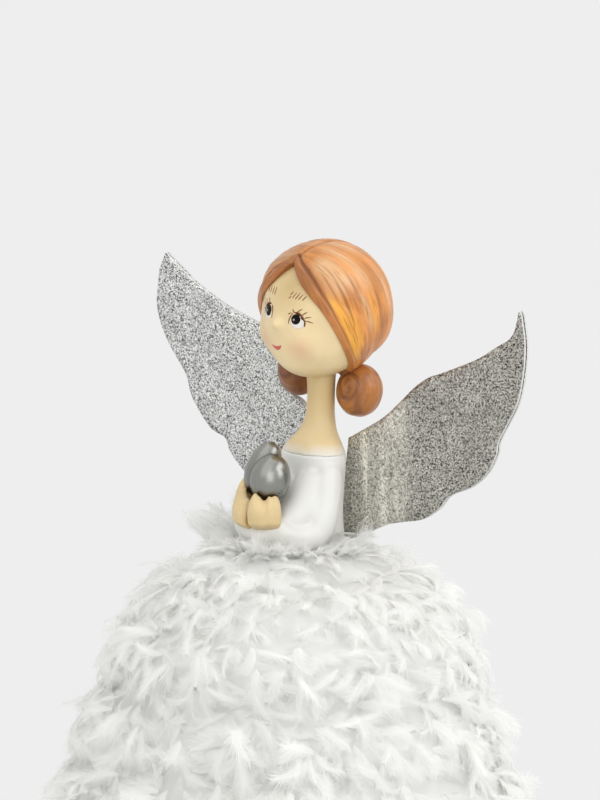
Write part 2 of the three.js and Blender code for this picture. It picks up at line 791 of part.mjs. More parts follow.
// Room for a door tab to tip up as the door swings down.
function tabWindow(y) {
  const reach = hinge.x + doorHalfLength + tab.reach;
  const lift = ledge + gap + tab.thickness - hinge.z;
  const swing = Math.hypot(reach, lift);
  const half = tab.width / 2 + door.play;
  return block(
    [-doorHalfLength - tab.reach - door.play, -bayHalfLength + overrun],
    [y - half, y + half],
    [ledge, hinge.z + swing + door.play],
  );
}

function basePlate() {
  const rimTop = plateTop + plate.rimHeight;
  const rimFoot = insideRadius(plateTop) - gap;
  const rimHead = insideRadius(rimTop) - gap;
  const disc = turned([
    [0, plateFoot],
    [bell.hemRadius, plateFoot],
    [bell.hemRadius, plateTop],
    [rimFoot, plateTop],
    [rimHead, rimTop],
    [rimHead - plate.rimWall, rimTop],
    [rimHead - plate.rimWall, plateTop],
    [0, plateTop],
  ]);
  const outerLength = 2 * (bayHalfLength + bay.wall);
  const outerWidth = 2 * (bayHalfWidth + bay.wall);
  const shell = pillar(0, 0, outerLength, outerWidth, plateTop - overrun, bayTop);
  const inside = pillar(0, 0, 2 * bayHalfLength, 2 * bayHalfWidth, ledge - overrun, bayCeiling);
  const recess = pillar(0, 0, 2 * recessHalfLength, 2 * recessHalfWidth, plateFoot - overrun, ledge);
  const ribLength = cell.length - bay.springRoom;
  const rib = pillar(0, 0, ribLength, bay.wall, bayCeiling - bay.rib, bayCeiling + overrun);
  const bladeAt = doorHalfLength - latch.blade;
  const latchSlot = block(
    [bladeAt - door.play, doorHalfLength + latch.room],
    [-latch.width / 2 - door.play, latch.width / 2 + door.play],
    [plateFoot, plateTop + overrun],
  );
  const slot = pillar(
    toggleAt.x,
    toggleAt.y,
    toggle.stem + toggle.travel + 2 * gap,
    toggle.across + 2 * gap,
    plateFoot - overrun,
    plateTop + overrun,
  );
  const pilots = [-1, 1].map((side) =>
    screwHole(side, screwFloor, plateTop + overrun),
  );
  const stakes = [-1, 1].map((side) => boardStake(stakeX(side), boardAt.y));
  const tails = tabPlaces.map((y) => contactTail(y, gap));
  const windows = tabPlaces.map(tabWindow);
  const body = union(disc, shell);
  return union(
    cut(body, inside, recess, latchSlot, slot, ...pilots, ...tails, ...windows),
    rib,
    ...stakes,
  );
}

const screwHole = (side, from, to) =>
  rod(screw.radius + gap, toggleAt.x + side * screwAway, toggleAt.y, from, to, 12);

// A post that carries the circuit board, with a melted-over stake through its hole.
function boardStake(x, y) {
  const seat = boardTop + gap;
  return union(
    rod(board.postRadius, x, y, plateTop - overrun, boardFoot, 12),
    rod(board.stakeRadius, x, y, plateTop, seat + board.stakeRadius, 12),
    rod(board.postRadius, x, y, seat, seat + board.stakeRadius, 12),
  );
}

function batteryDoor() {
  const across = [-doorHalfWidth, doorHalfWidth];
  const leaf = block([hinge.x, doorHalfLength], across, [plateFoot, doorTop]);
  const half = door.thickness / 2;
  const edge = new THREE.CylinderGeometry(half, half, 2 * doorHalfWidth, 24);
  const knuckle = solidOf(edge.translate(hinge.x, 0, hinge.z));
  const hook = ledge + gap;
  const tabs = tabPlaces.flatMap((y) => {
    const span = [y - tab.width / 2, y + tab.width / 2];
    const inner = tab.stem - doorHalfLength;
    return [
      block([hinge.x, inner], span, [plateFoot, hook + tab.thickness]),
      block([-doorHalfLength - tab.reach, inner], span, [hook, hook + tab.thickness]),
    ];
  });
  const latchSpan = [-latch.width / 2, latch.width / 2];
  const bladeTop = plateTop + latch.rise;
  const bladeIn = doorHalfLength - latch.blade;
  const blade = block([bladeIn, doorHalfLength], latchSpan, [plateFoot, bladeTop]);
  const nubRise = [plateTop + gap, plateTop + gap + 2 * latch.nub];
  const nub = block([bladeIn, doorHalfLength + latch.nub], latchSpan, nubRise);
  const grooves = Array.from({ length: door.grooves }, (_, i) =>
    pillar(
      doorHalfLength - door.lip - 3 * i * door.groove,
      0,
      door.groove,
      door.grooveLength,
      plateFoot - overrun,
      plateFoot + door.groove,
    ),
  );
  return cut(union(leaf, knuckle, ...tabs, blade, nub), ...grooves);
}

// Base: the switch, the circuit board, the leads and the string of lights

function switchHousing() {
  const { x, y } = toggleAt;
  const { width, depth, wall } = toggle;
  const top = plateTop + toggle.height;
  const cover = pillar(x, y, width, depth, plateTop, top);
  const ears = pillar(x, y, width + 2 * ear.length, depth, plateTop, plateTop + ear.thickness);
  const room = pillar(x, y, width - 2 * wall, depth - 2 * wall, plateTop - overrun, top - wall);
  const holes = [-1, 1].map((side) =>
    screwHole(side, plateTop - overrun, plateTop + ear.thickness + overrun),
  );
  const pins = [-1, 1].map((side) => {
    const pinX = x + (side * width) / 4;
    return pillar(pinX, y, toggle.pinSide, toggle.pinSide, top - wall, top + toggle.pinRise);
  });
  return union(cut(union(cover, ears), room, ...holes), ...pins);
}

function switchKnob() {
  const foot = plateTop + gap;
  const depth = toggle.depth - 2 * toggle.wall - 2 * gap;
  const flange = pillar(knobAt, toggleAt.y, flangeLength, depth, foot, foot + toggle.flange);
  const tip = plateFoot - toggle.proud;
  const stem = pillar(knobAt, toggleAt.y, toggle.stem, toggle.across, tip, foot + gap);
  return union(flange, stem);
}

function switchScrew(side) {
  const x = toggleAt.x + side * screwAway;
  const seat = plateTop + ear.thickness;
  const shank = rod(screw.radius, x, toggleAt.y, screwFloor + gap, seat + gap, 12);
  return union(shank, rod(screw.headRadius, x, toggleAt.y, seat, seat + screw.headHeight, 12));
}

const stakeX = (side) => boardAt.x + (side * board.width) / 3;

function circuitBoard() {
  const { x, y } = boardAt;
  const { resistorRadius, resistorLength, chipWidth, chipDepth, chipHeight } = parts;
  const slab = pillar(x, y, board.width, board.depth, boardFoot, boardTop);
  const bore = board.stakeRadius + gap;
  const holes = [-1, 1].map((side) =>
    rod(bore, stakeX(side), y, boardFoot - overrun, boardTop + overrun, 12),
  );
  const chipY = y + board.depth / 4;
  const chip = pillar(x, chipY, chipWidth, chipDepth, boardTop - gap, boardTop + chipHeight);
  const barrel = new THREE.CylinderGeometry(resistorRadius, resistorRadius, resistorLength, 10);
  barrel.rotateZ(Math.PI / 2).translate(x, y - board.depth / 4, boardTop + resistorRadius - gap);
  return union(cut(slab, ...holes), chip, solidOf(barrel));
}

// Leads, routed by hand between the tails, pins and pads that their ends are soldered to.
// The positive one goes round the end of the bay, so its points count outwards from the tails.
const positiveRoute = [[4, 6.6, 21.5], [8, 0, 14], [8, -14, 12], [9.1, -24.5, 12]];
const negativeRoute = [[31, -12.5, 24], [27, -21, 19], [14, -23.5, 15], [5, -27.5, 13.4]];
const switchedRoute = [[-1, -36.9, 13], [8, -39.9, 12], [15, -38.4, 11.8]];
const stringRoute = [[36, -41, 12], [43, -52, 17], [52, -60, 24]];

const tailSide = bayHalfLength + lead.radius;
const besideTail = (y) => vec(tailSide, y, bayTop + contact.tail - lead.radius);
const pinSide = toggle.pinSide / 2 + gap + lead.radius;
const pinLevel = plateTop + toggle.height + toggle.solder;
const besidePin = (end) =>
  vec(toggleAt.x + (end * toggle.width) / 4, toggleAt.y + end * pinSide, pinLevel);
const padAt = (endX, endY, radius) =>
  vec(
    boardAt.x + endX * (board.width / 2 - board.padInset),
    boardAt.y + (endY * board.depth) / 3,
    boardTop + gap + radius,
  );

const routed = (start, route, end) =>
  new THREE.CatmullRomCurve3([start, ...route.map((point) => vec(...point)), end]);
const leadAlong = (start, route, end) =>
  wireAlong(routed(start, route, end), lead.radius, lead.steps);

function positiveLead() {
  const route = positiveRoute.map(([out, y, z]) => [tailSide + out, y, z]);
  return leadAlong(besideTail(cellPitch / 2), route, padAt(1, 1, lead.radius));
}
const negativeLead = () => leadAlong(besideTail(-cellPitch / 2), negativeRoute, besidePin(1));
const switchedLead = () => leadAlong(besidePin(-1), switchedRoute, padAt(-1, -1, lead.radius));

// String of lights: a helix close inside the bell, with beads along it
const flats = Math.cos(Math.PI / facets); // how near the axis a facet's middle comes
const wallTrack = (z) => insideRadius(z) * flats - gap - string.wire;

function stringClimb() {
  const count = string.turns * string.stepsPerTurn;
  return Array.from({ length: count + 1 }, (_, i) => {
    const z = mix(string.foot, string.head, i / count);
    const turn = 2 * Math.PI * (i / string.stepsPerTurn - string.startShare);
    return vec(wallTrack(z) * Math.cos(turn), wallTrack(z) * Math.sin(turn), z);
  });
}

function lightString() {
  const climb = stringClimb();
  const rise = stringRoute.map((point) => vec(...point));
  const route = [padAt(1, -1, string.wire), ...rise, ...climb];
  const every = (climb.length - 1) / string.beads;
  const beads = Array.from({ length: string.beads }, (_, i) => {
    const at = climb[Math.round((i + 0.5) * every)];
    const flat = Math.hypot(at.x, at.y);
    const inward = (flat - string.bead + string.wire) / flat;
    const bead = new THREE.IcosahedronGeometry(string.bead, 0);
    return solidOf(bead.translate(at.x * inward, at.y * inward, at.z));
  });
  const wire = wireAlong(new THREE.CatmullRomCurve3(route), string.wire, route.length - 1);
  return union(wire, ...beads);
}

// Fixings under the bust and the feet

const roofUnderside = bellTop - bell.roof;
const washerFoot = roofUnderside - washer.thickness;
const screwSeat = washerFoot - gap;

function bustFixing() {
  const shank = rod(bustScrew.radius, 0, torso.back, screwSeat - gap, screwSeat + bustScrew.length, 12);
  const driven = rod(
    bustScrew.headRadius,
    0,
    torso.back,
    screwSeat - bustScrew.headHeight,
    screwSeat,
    16,
  );
  return union(shank, driven);
}

function bustWasher() {
  const disc = rod(washer.radius, 0, torso.back, washerFoot, roofUnderside, 20);
  const bore = bustScrew.radius + gap;
  return cut(disc, rod(bore, 0, torso.back, washerFoot - overrun, roofUnderside + overrun, 12));
}

function footPad(index) {
  const turn = (2 * Math.PI * (index + 0.5)) / pad.count;
  return rod(pad.radius, pad.circle * Math.cos(turn), pad.circle * Math.sin(turn), 0, pad.thickness, 24);
}

// Finishes
const finish = (color, roughness, metalness = 0, extra = {}) =>
  new THREE.MeshStandardMaterial({ color, roughness, metalness, ...extra });
const finishes = {
  skin: finish(0xe3c79a, 0.55),
  hair: finish(0xb86a33, 0.45),
  dress: finish(0xf1efea, 0.4),
  silver: finish(0x8f8f8c, 0.28, 0.9),
  glitter: finish(0xb9bab8, 0.5, 0.6),
  feather: finish(0xf4f4f2, 0.85),
  shade: finish(0xf2f0ea, 0.6, 0, { transparent: true, opacity: 0.8 }),
  basePlastic: finish(0xeceae4, 0.5),
  rubber: finish(0x9e9e99, 0.9),
  blackPlastic: finish(0x1c1c1c, 0.45),
  steel: finish(0xb8bcc0, 0.35, 1),
  label: finish(0x333842, 0.4),
  board: finish(0x2f6b45, 0.6),
  red: finish(0xb3261e, 0.5),
  black: finish(0x202020, 0.5),
  string: finish(0xe9e4cf, 0.3),
};

const figurine = new THREE.Group();

function add(name, solid, material, group = figurine) {
  const mesh = new THREE.Mesh(geometryOf(solid), finishes[material]);
  mesh.name = name;
  group.add(mesh);
  return mesh;
}

// Base and light
add("base_plate", basePlate(), "basePlastic");
add("battery_door", batteryDoor(), "basePlastic");
for (let i = 0; i < pad.count; i++) add(`foot_pad_${i + 1}`, footPad(i), "rubber");
add("battery_1", battery(1), "label");
add("battery_2", battery(-1), "label");
add("positive_contact", positiveContact(), "steel");
add("negative_contact", negativeContact(), "steel");
add("bridge_contact", bridgeContact(), "steel");
add("switch_housing", switchHousing(), "blackPlastic");
add("switch_knob", switchKnob(), "blackPlastic");
add("switch_screw_left", switchScrew(1), "steel");
add("switch_screw_right", switchScrew(-1), "steel");
add("circuit_board", circuitBoard(), "board");
add("positive_lead", positiveLead(), "red");
add("negative_lead", negativeLead(), "black");
add("switched_lead", switchedLead(), "black");
add("light_string", lightString(), "string");

// Skirt
add("skirt_form", skirtForm(), "shade");
for (let i = 0; i < trim.tiers; i++) add(`feather_tier_${i + 1}`, featherTier(i), "feather");
add("waist_ruff", waistRuff(), "feather");

// Bust
add("bust_screw", bustFixing(), "steel");
add("bust_washer", bustWasher(), "steel");
add("bodice", bodice(), "dress");
add("sleeve_left", sleeveOf(leftArm), "dress");
add("sleeve_right", sleeveOf(rightArm), "dress");
add("hand_left", cuppedHand(leftGrip, leftArm(gap)), "skin");
add("hand_right", cuppedHand(rightGrip, rightArm(gap)), "skin");
add("heart", heartBody(0), "silver");
add("head_and_neck", headAndNeck(), "skin");

const headGroup = new THREE.Group();
headGroup.applyMatrix4(headPlace);
figurine.add(headGroup);
add("hair", hairCap(), "hair", headGroup);
add("bun_left", sideBun(1), "hair", headGroup);
add("bun_right", sideBun(-1), "hair", headGroup);

// Wings
for (const [name, side, shares] of [
  ["left", 1, leftWingShares],
  ["right", -1, rightWingShares],
]) {
  add(`wing_${name}_front`, wingSheet(side, shares, 0), "glitter");
  add(`wing_${name}_back`, wingSheet(side, shares, 1), "glitter");
}

export default figurine;
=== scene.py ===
"""Dresses the light-up angel figurine: painted cast bust, glitter wings, feather trim and battery base.

Sizes inside the builders are millimetres in the frame of the model; meshes are made in metres.
"""

import math

import bpy
import numpy as np
from bpy.props import FloatProperty, FloatVectorProperty, IntProperty, PointerProperty
from mathutils import Matrix, Vector
from mathutils.bvhtree import BVHTree


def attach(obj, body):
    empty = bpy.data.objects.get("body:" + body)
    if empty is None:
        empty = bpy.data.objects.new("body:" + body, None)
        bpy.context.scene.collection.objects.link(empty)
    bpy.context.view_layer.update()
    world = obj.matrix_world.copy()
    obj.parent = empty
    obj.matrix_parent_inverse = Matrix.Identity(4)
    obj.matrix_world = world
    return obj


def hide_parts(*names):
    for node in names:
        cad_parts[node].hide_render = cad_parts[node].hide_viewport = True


bl_info = {
    "name": "Light-up Angel Figurine",
    "version": (1, 0, 0),
    "blender": (4, 5, 0),
    "location": "View3D > Sidebar > Angel",
    "description": "Dresses a packed angel figurine with paint, glitter and feather trim",
    "category": "Object",
}

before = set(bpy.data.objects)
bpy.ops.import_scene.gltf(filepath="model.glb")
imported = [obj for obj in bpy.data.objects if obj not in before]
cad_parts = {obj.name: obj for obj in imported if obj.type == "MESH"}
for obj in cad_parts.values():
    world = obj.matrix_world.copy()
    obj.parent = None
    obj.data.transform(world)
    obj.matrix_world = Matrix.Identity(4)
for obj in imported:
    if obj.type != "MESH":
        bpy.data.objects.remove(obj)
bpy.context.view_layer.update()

MM = 0.001
FIGURE = "figurine"

# Settings


def colour(name, description, default):
    """A colour setting, kept as the linear values that the shaders take."""
    return FloatVectorProperty(
        name=name, description=description, default=default, subtype="COLOR", size=3, min=0, max=1
    )


class AngelTrimSettings(bpy.types.PropertyGroup):
    """The feather-like ribbon trim."""

    plume_length: FloatProperty(
        name="Plume length", description="Usual length of one plume", default=0.0165, unit="LENGTH"
    )
    plume_width: FloatProperty(
        name="Plume width", description="Usual width of one plume", default=0.0074, unit="LENGTH"
    )
    plume_room: FloatProperty(
        name="Plume room", description="Square millimetres of trim for each plume", default=17.0, min=5
    )
    loose_share: FloatProperty(
        name="Loose plumes",
        description="Share of the plumes that stand off",
        default=0.1,
        subtype="FACTOR",
    )
    upright_plumes: IntProperty(
        name="Upright plumes", description="How many plumes stand behind the waist", default=75, min=0
    )
    white: colour("Plume white", "Colour of the plumes", (0.985, 0.985, 0.972))
    # Painted shade: the grey of the upright plumes at the waist
    grey: colour("Plume grey", "Colour of the plumes behind the waist", (0.94, 0.945, 0.93))


class AngelPaintSettings(bpy.types.PropertyGroup):
    """The colours of the painted casting and of the wings."""

    skin: colour("Skin", "Cream skin paint", (0.78, 0.62, 0.355))
    # Painted shade: the ochre that darkens the skin under the hair's brim, under the chin and in hollows,
    # and the hands all over
    painted_skin_shade: colour("Skin shade", "Ochre wash under the hair and the chin", (0.54, 0.38, 0.16))
    blush: colour("Blush", "Pink on the cheeks", (0.66, 0.32, 0.19))
    lips: colour("Lips", "Red of the mouth", (0.56, 0.08, 0.06))
    ink: colour("Ink", "Brown line paint of lashes and brows", (0.22, 0.07, 0.028))
    hair: colour("Hair", "Middle tone of the hair", (0.6, 0.235, 0.055))
    hair_gold: colour("Hair gold", "Golden patches of the hair", (0.84, 0.4, 0.05))
    hair_light: colour("Hair light", "Light patches of the hair", (0.72, 0.47, 0.26))
    # Brown paint of lines and patches; also the brown of the painted shade on the hair's right side and
    # on the right bun
    hair_dark: colour("Hair shade", "Brown wash in the furrows", (0.2, 0.06, 0.016))
    dress: colour("Dress", "Pearl white of the bodice", (0.785, 0.785, 0.745))
    # Painted shade: the warmer tone that darkens the dress's creases
    painted_dress_shade: colour("Dress shade", "Warmer tone in the dress's creases", (0.6, 0.6, 0.53))
    silver: colour("Silver", "Metallic paint of the heart", (0.3, 0.3, 0.28))
    glitter: colour("Glitter", "Silver flakes of the far wing", (0.6, 0.605, 0.59))
    # Painted shade: the near wing's flakes are a darker, warmer copy of the far wing's
    shaded_glitter: colour("Warm glitter", "Silver flakes of the near wing", (0.4, 0.39, 0.35))


class AngelStageSettings(bpy.types.PropertyGroup):
    """The camera and the lamps."""

    azimuth: FloatProperty(
        name="Azimuth",
        description="Camera's turn about the figure",
        default=math.radians(43),
        subtype="ANGLE",
    )
    elevation: FloatProperty(
        name="Elevation", description="Camera's height angle", default=math.radians(10.5), subtype="ANGLE"
    )
    distance: FloatProperty(
        name="Distance", description="Camera's distance", default=8.0, unit="LENGTH"
    )
    view_height: FloatProperty(
        name="View height", description="Height of the view at the figure", default=0.32, unit="LENGTH"
    )
    backdrop: FloatProperty(
        name="Backdrop", description="Linear value of the backdrop", default=0.855, min=0, max=1
    )
    sky: FloatProperty(name="Sky", description="Strength of the even light", default=0.76, min=0, max=1)


# Mesh helpers


def mesh_piece(name, points, faces, smooth=True):
    """A mesh object from points in millimetres."""
    mesh = bpy.data.meshes.new(name)
    points = np.asarray(points, float) * MM
    mesh.from_pydata(points.tolist(), [], [tuple(int(i) for i in f) for f in faces])
    mesh.validate()
    mesh.update()
    if smooth:
        mesh.shade_smooth()
    piece = bpy.data.objects.new(name, mesh)
    bpy.context.scene.collection.objects.link(piece)
    return piece


def grid_faces(rows, columns, loop_rows=False, loop_columns=True, start=0):
    """Quads over a grid of points that was laid out row by row."""
    faces = []
    for i in range(rows if loop_rows else rows - 1):
        for j in range(columns if loop_columns else columns - 1):
            here, there = i * columns, (i + 1) % rows * columns
            following = (j + 1) % columns
            faces.append(
                (start + here + j, start + here + following, start + there + following, start + there + j)
            )
    return faces


def closed_grid(rows, columns):
    """Faces over a grid with a fan at each end; the fans' middles are the two points after the grid."""
    faces = grid_faces(rows, columns)
    first = rows * columns
    top = first - columns
    for j in range(columns):
        following = (j + 1) % columns
        faces.append((first, following, j))
        faces.append((first + 1, top + j, top + following))
    return faces


def capped(rings):
    """Points and faces of a closed skin over equal rings."""
    rings = [np.asarray(ring, float) for ring in rings]
    points = np.concatenate(rings + [rings[0].mean(0)[None], rings[-1].mean(0)[None]])
    return points, closed_grid(len(rings), len(rings[0]))


def joined(parts):
    """Several (points, faces) as one."""
    points, faces, start = [], [], 0
    for part_points, part_faces in parts:
        points.append(np.asarray(part_points, float))
        faces += [tuple(i + start for i in f) for f in part_faces]
        start += len(part_points)
    return np.concatenate(points), faces


def smooth_through(knots, values):
    """A smooth function through knots: a cubic between each two, sloped by their neighbours."""
    knots = np.asarray(knots, float)
    values = np.asarray(values, float)
    slopes = np.gradient(values, knots, axis=0)

    def at(where):
        where = np.clip(np.asarray(where, float), knots[0], knots[-1])
        i = np.clip(np.searchsorted(knots, where, side="right") - 1, 0, len(knots) - 2)
        span = knots[i + 1] - knots[i]
        t = (where - knots[i]) / span
        if values.ndim > 1:
            t, span = t[..., None], span[..., None]
        t2, t3 = t * t, t * t * t
        return (
            (2 * t3 - 3 * t2 + 1) * values[i]
            + (t3 - 2 * t2 + t) * span * slopes[i]
            + (3 * t2 - 2 * t3) * values[i + 1]
            + (t3 - t2) * span * slopes[i + 1]
        )

    return at


def unit(vectors):
    """Vectors of length 1."""
    vectors = np.asarray(vectors, float)
    return vectors / np.maximum(np.linalg.norm(vectors, axis=-1, keepdims=True), 1e-9)


def tube(points, radii, sides):
    """A closed round bar along a smooth line through points, as thick as the radii say."""
    line = smooth_through(np.linspace(0, 1, len(points)), points)
    thick = smooth_through(np.linspace(0, 1, len(radii)), radii)
    shares = np.linspace(0, 1, 6 * len(points))
    places = line(shares)
    along = unit(np.gradient(places, axis=0))
    side = np.array([1.0, 0.0, 0.0])
    rings = []
    turns = np.linspace(0, 2 * math.pi, sides, endpoint=False)
    for place, direction, radius in zip(places, along, thick(shares)):
        side = unit(side - direction * side.dot(direction))
        across = np.cross(direction, side)
        rings.append(place + radius * (np.cos(turns)[:, None] * side + np.sin(turns)[:, None] * across))
    # A round end: two shrinking rings past each end
    for end, direction, where in ((rings[0], -along[0], 0), (rings[-1], along[-1], len(rings) + 2)):
        middle = end.mean(0)
        radius = np.linalg.norm(end[0] - middle)
        near = middle + (end - middle) * 0.8 + direction * radius * 0.3
        far = middle + (end - middle) * 0.4 + direction * radius * 0.45
        if where:
            rings += [near, far]
        else:
            rings = [far, near] + rings
    return capped(rings)


# Size in millimetres of the faces of an even skin, and the passes that smooth it
SKINS = {"head": (0.72, 4), "dress": (0.65, 9), "hand": (0.35, 6)}


def remesh(piece, skin):
    """Lays one even closed skin over everything in the piece and smooths it."""
    size, passes = SKINS[skin]
    voxel = piece.modifiers.new("Skin", "REMESH")
    voxel.mode = "VOXEL"
    voxel.voxel_size = size * MM
    even = piece.modifiers.new("Even", "SMOOTH")
    even.factor = 0.5
    even.iterations = passes
    bpy.context.view_layer.update()
    evaluated = piece.evaluated_get(bpy.context.evaluated_depsgraph_get())
    mesh = bpy.data.meshes.new_from_object(evaluated)
    piece.modifiers.clear()
    piece.data = mesh
    mesh.shade_smooth()


def points_of(piece):
    """The piece's points in millimetres."""
    flat = np.zeros(len(piece.data.vertices) * 3)
    piece.data.vertices.foreach_get("co", flat)
    return flat.reshape(-1, 3) / MM


def set_points(piece, points):
    """Moves the piece's points, given in millimetres."""
    piece.data.vertices.foreach_set("co", (np.asarray(points, float) * MM).ravel())
    piece.data.update()


def normals_of(piece):
    """The piece's point normals."""
    flat = np.zeros(len(piece.data.vertices) * 3)
    piece.data.vertices.foreach_get("normal", flat)
    return flat.reshape(-1, 3)


def write_vectors(piece, name, values):
    """A vector for each point, which the materials read by name."""
    attribute = piece.data.attributes.new(name, "FLOAT_VECTOR", "POINT")
    attribute.data.foreach_set("vector", np.asarray(values, np.float32).ravel())


def lattice_noise(points, seed):
    """Smooth noise from -1 to 1 at points, the same on every run."""
    points = np.asarray(points, float)
    cell = np.floor(points).astype(np.int64)
    part = points - cell
    part = part * part * (3 - 2 * part)
    total = np.zeros(len(points))
    for corner in range(8):
        offset = np.array([corner & 1, corner >> 1 & 1, corner >> 2 & 1])
        key = cell + offset
        mixed = key[:, 0] * 374761393 + key[:, 1] * 668265263 + key[:, 2] * 2147483647 + seed * 974711
        mixed = (mixed ^ (mixed >> 13)) * 1274126177
        value = ((mixed ^ (mixed >> 16)) & 0xFFFF) / 32767.5 - 1
        weight = np.prod(np.where(offset, part, 1 - part), axis=1)
        total += value * weight
    return total


def hand_over(piece, material, replaces=()):
    """Gives a piece its material and its body, and hides the nodes that it stands for."""
    piece.data.materials.clear()
    piece.data.materials.append(material)
    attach(piece, FIGURE)
    if replaces:
        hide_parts(*replaces)


# Material helpers


class Shader:
    """A node material with one Principled shader."""

    def __init__(self, name, **sockets):
        self.material = bpy.data.materials.new(name)
        self.material.use_nodes = True
        self.tree = self.material.node_tree
        self.tree.nodes.clear()
        self.output = self.tree.nodes.new("ShaderNodeOutputMaterial")
        self.main = self.add("ShaderNodeBsdfPrincipled")
        self.tree.links.new(self.main.outputs["BSDF"], self.output.inputs["Surface"])
        for key, value in sockets.items():
            self.set(self.main, key.replace("_", " "), value)

    def set(self, node, key, value):
        """Sets a socket, or links one to it."""
        socket = node.inputs[key]
        if isinstance(value, bpy.types.NodeSocket):
            self.tree.links.new(value, socket)
        elif socket.type == "RGBA" and len(value) == 3:
            socket.default_value = (*value, 1)
        else:
            socket.default_value = value

    def add(self, kind, inputs=None, **settings):
        """A node with its settings and inputs."""
        node = self.tree.nodes.new(kind)
        for key, value in settings.items():
            setattr(node, key, value)
        for key, value in (inputs or {}).items():
            self.set(node, key, value)
        return node

    def coordinates(self):
        """Object coordinates, in metres."""
        return self.add("ShaderNodeTexCoord").outputs["Object"]

    def axis(self, name):
        """One of the object coordinates, in metres."""
        return self.add("ShaderNodeSeparateXYZ", {"Vector": self.coordinates()}).outputs[name]

    def attribute(self, name):
        """A named vector of the mesh."""
        return self.add("ShaderNodeAttribute", attribute_name=name).outputs["Vector"]

    def place(self, scale=(1, 1, 1), source=None):
        """Object coordinates, or another vector, at a scale."""
        source = source or self.coordinates()
        return self.add("ShaderNodeMapping", {"Vector": source, "Scale": scale}).outputs["Vector"]

    def noise(self, scale, detail=3.0, roughness=0.5, vector=None):
        """Noise of a scale in turns per metre."""
        vector = vector or self.place()
        inputs = {"Vector": vector, "Scale": scale, "Detail": detail, "Roughness": roughness}
        return self.add("ShaderNodeTexNoise", inputs).outputs["Fac"]

    def ramp(self, factor, stops):
        """A colour ramp of (place, colour) stops."""
        node = self.add("ShaderNodeValToRGB", {"Fac": factor})
        ramp = node.color_ramp
        while len(ramp.elements) < len(stops):
            ramp.elements.new(0.5)
        for element, (where, tone) in zip(ramp.elements, stops):
            element.position = where
            element.color = (*tone, 1) if hasattr(tone, "__len__") else (tone, tone, tone, 1)
        return node.outputs["Color"]

    def mottle(self, base, spread, scale, detail=3.0):
        """Soft blotches of a darker and a lighter tone of a colour."""
        low, high = tones(base, spread)
        return self.ramp(self.noise(scale, detail), [(0.3, low), (0.7, high)])

    def openness(self, distance, samples):
        """1 where the surface lies open, and less in its hollows."""
        node = self.add("ShaderNodeAmbientOcclusion", {"Distance": distance}, samples=samples)
        return node.outputs["AO"]

    def calc(self, operation, a, b):
        """Two values put together."""
        return self.add("ShaderNodeMath", {0: a, 1: b}, operation=operation).outputs[0]

    def vector(self, operation, inputs, output="Vector"):
        """The result of a sum of vectors."""
        return self.add("ShaderNodeVectorMath", inputs, operation=operation).outputs[output]

    def mix(self, factor, a, b, blend="MIX"):
        """Two colours mixed."""
        node = self.add("ShaderNodeMix", data_type="RGBA", blend_type=blend)
        self.set(node, 0, factor)
        for index, value in ((6, a), (7, b)):
            socket = node.inputs[index]
            if isinstance(value, bpy.types.NodeSocket):
                self.tree.links.new(value, socket)
            else:
                socket.default_value = (*value[:3], 1)
        return node.outputs[2]

    def span(self, value, low, high, out_low=0.0, out_high=1.0):
        """A value carried from one range to another."""
        inputs = {
            "Value": value, "From Min": low, "From Max": high, "To Min": out_low, "To Max": out_high
        }
        return self.add("ShaderNodeMapRange", inputs, clamp=True).outputs["Result"]

    def between(self, value, ends, out_low=0.0, out_high=1.0):
        """A value in metres, carried over from a range given in millimetres."""
        return self.span(value, ends[0] * MM, ends[1] * MM, out_low, out_high)

    def bump(self, height, strength, distance):
        """Relief on the shader."""
        inputs = {"Height": height, "Strength": strength, "Distance": distance}
        node = self.add("ShaderNodeBump", inputs)
        self.set(self.main, "Normal", node.outputs["Normal"])

    def base(self, value):
        """The shader's colour."""
        self.set(self.main, "Base Color", value)

    def rough(self, noise, low, high):
        """Roughness that drifts from low to high with a noise."""
        self.set(self.main, "Roughness", self.span(noise, 0.3, 0.7, low, high))

    def mix_in(self, other, share):
        """Mixes another shader's output into the main one."""
        mixed = self.add("ShaderNodeMixShader", {0: share})
        self.tree.links.new(self.main.outputs["BSDF"], mixed.inputs[1])
        self.tree.links.new(other, mixed.inputs[2])
        self.tree.links.new(mixed.outputs["Shader"], self.output.inputs["Surface"])


def tones(base, spread):
    """A darker and a lighter tone of a colour."""
    return tuple(c * (1 - spread) for c in base), tuple(min(1, c * (1 + spread)) for c in base)


def plain_paint(name, base, roughness, spread, grain=900, depth=0.00004):
    """Paint or plastic with a slight mottle and grain."""
    shader = Shader(name)
    shader.base(shader.mottle(base, spread, 120))
    shader.rough(shader.noise(260), roughness - 0.06, roughness + 0.06)
    shader.bump(shader.noise(grain, 4), 0.3, depth)
    return shader.material


# The bust's forms

HEAD_RADIUS = 24.5
HEAD_CENTRE = np.array([1.5, 16.0, 291.0])
HEAD_TILT = math.radians(8.5)
SHOULDER_LINE = 235.3
WAIST = 196.0
TORSO = {"height": 39.3, "half_width": 15.0, "half_depth": 10.6, "back": 14.0}
NECK = {"half_width": 5.5, "half_depth": 5.7, "back": 17.6, "rise": 55.7}
NECK_TOP_SHARE = 0.72
# By share of the neck's rise: how far back towards the neck's axis, and how near to the torso's
# half width and half depth
NECK_SHARES = smooth_through(
    [-0.004, 0, 0.035, 0.08, 0.14, 0.23, 0.38, 0.56, NECK_TOP_SHARE],
    [
        [0, 0.98, 0.94],
        [0, 0.97, 0.92],
        [0.05, 0.84, 0.78],
        [0.25, 0.64, 0.58],
        [0.55, 0.33, 0.3],
        [0.85, 0.1, 0.08],
        [1, 0, 0],
        [0.95, 0.06, 0.04],
        [0.9, 0.2, 0.2],
    ],
)

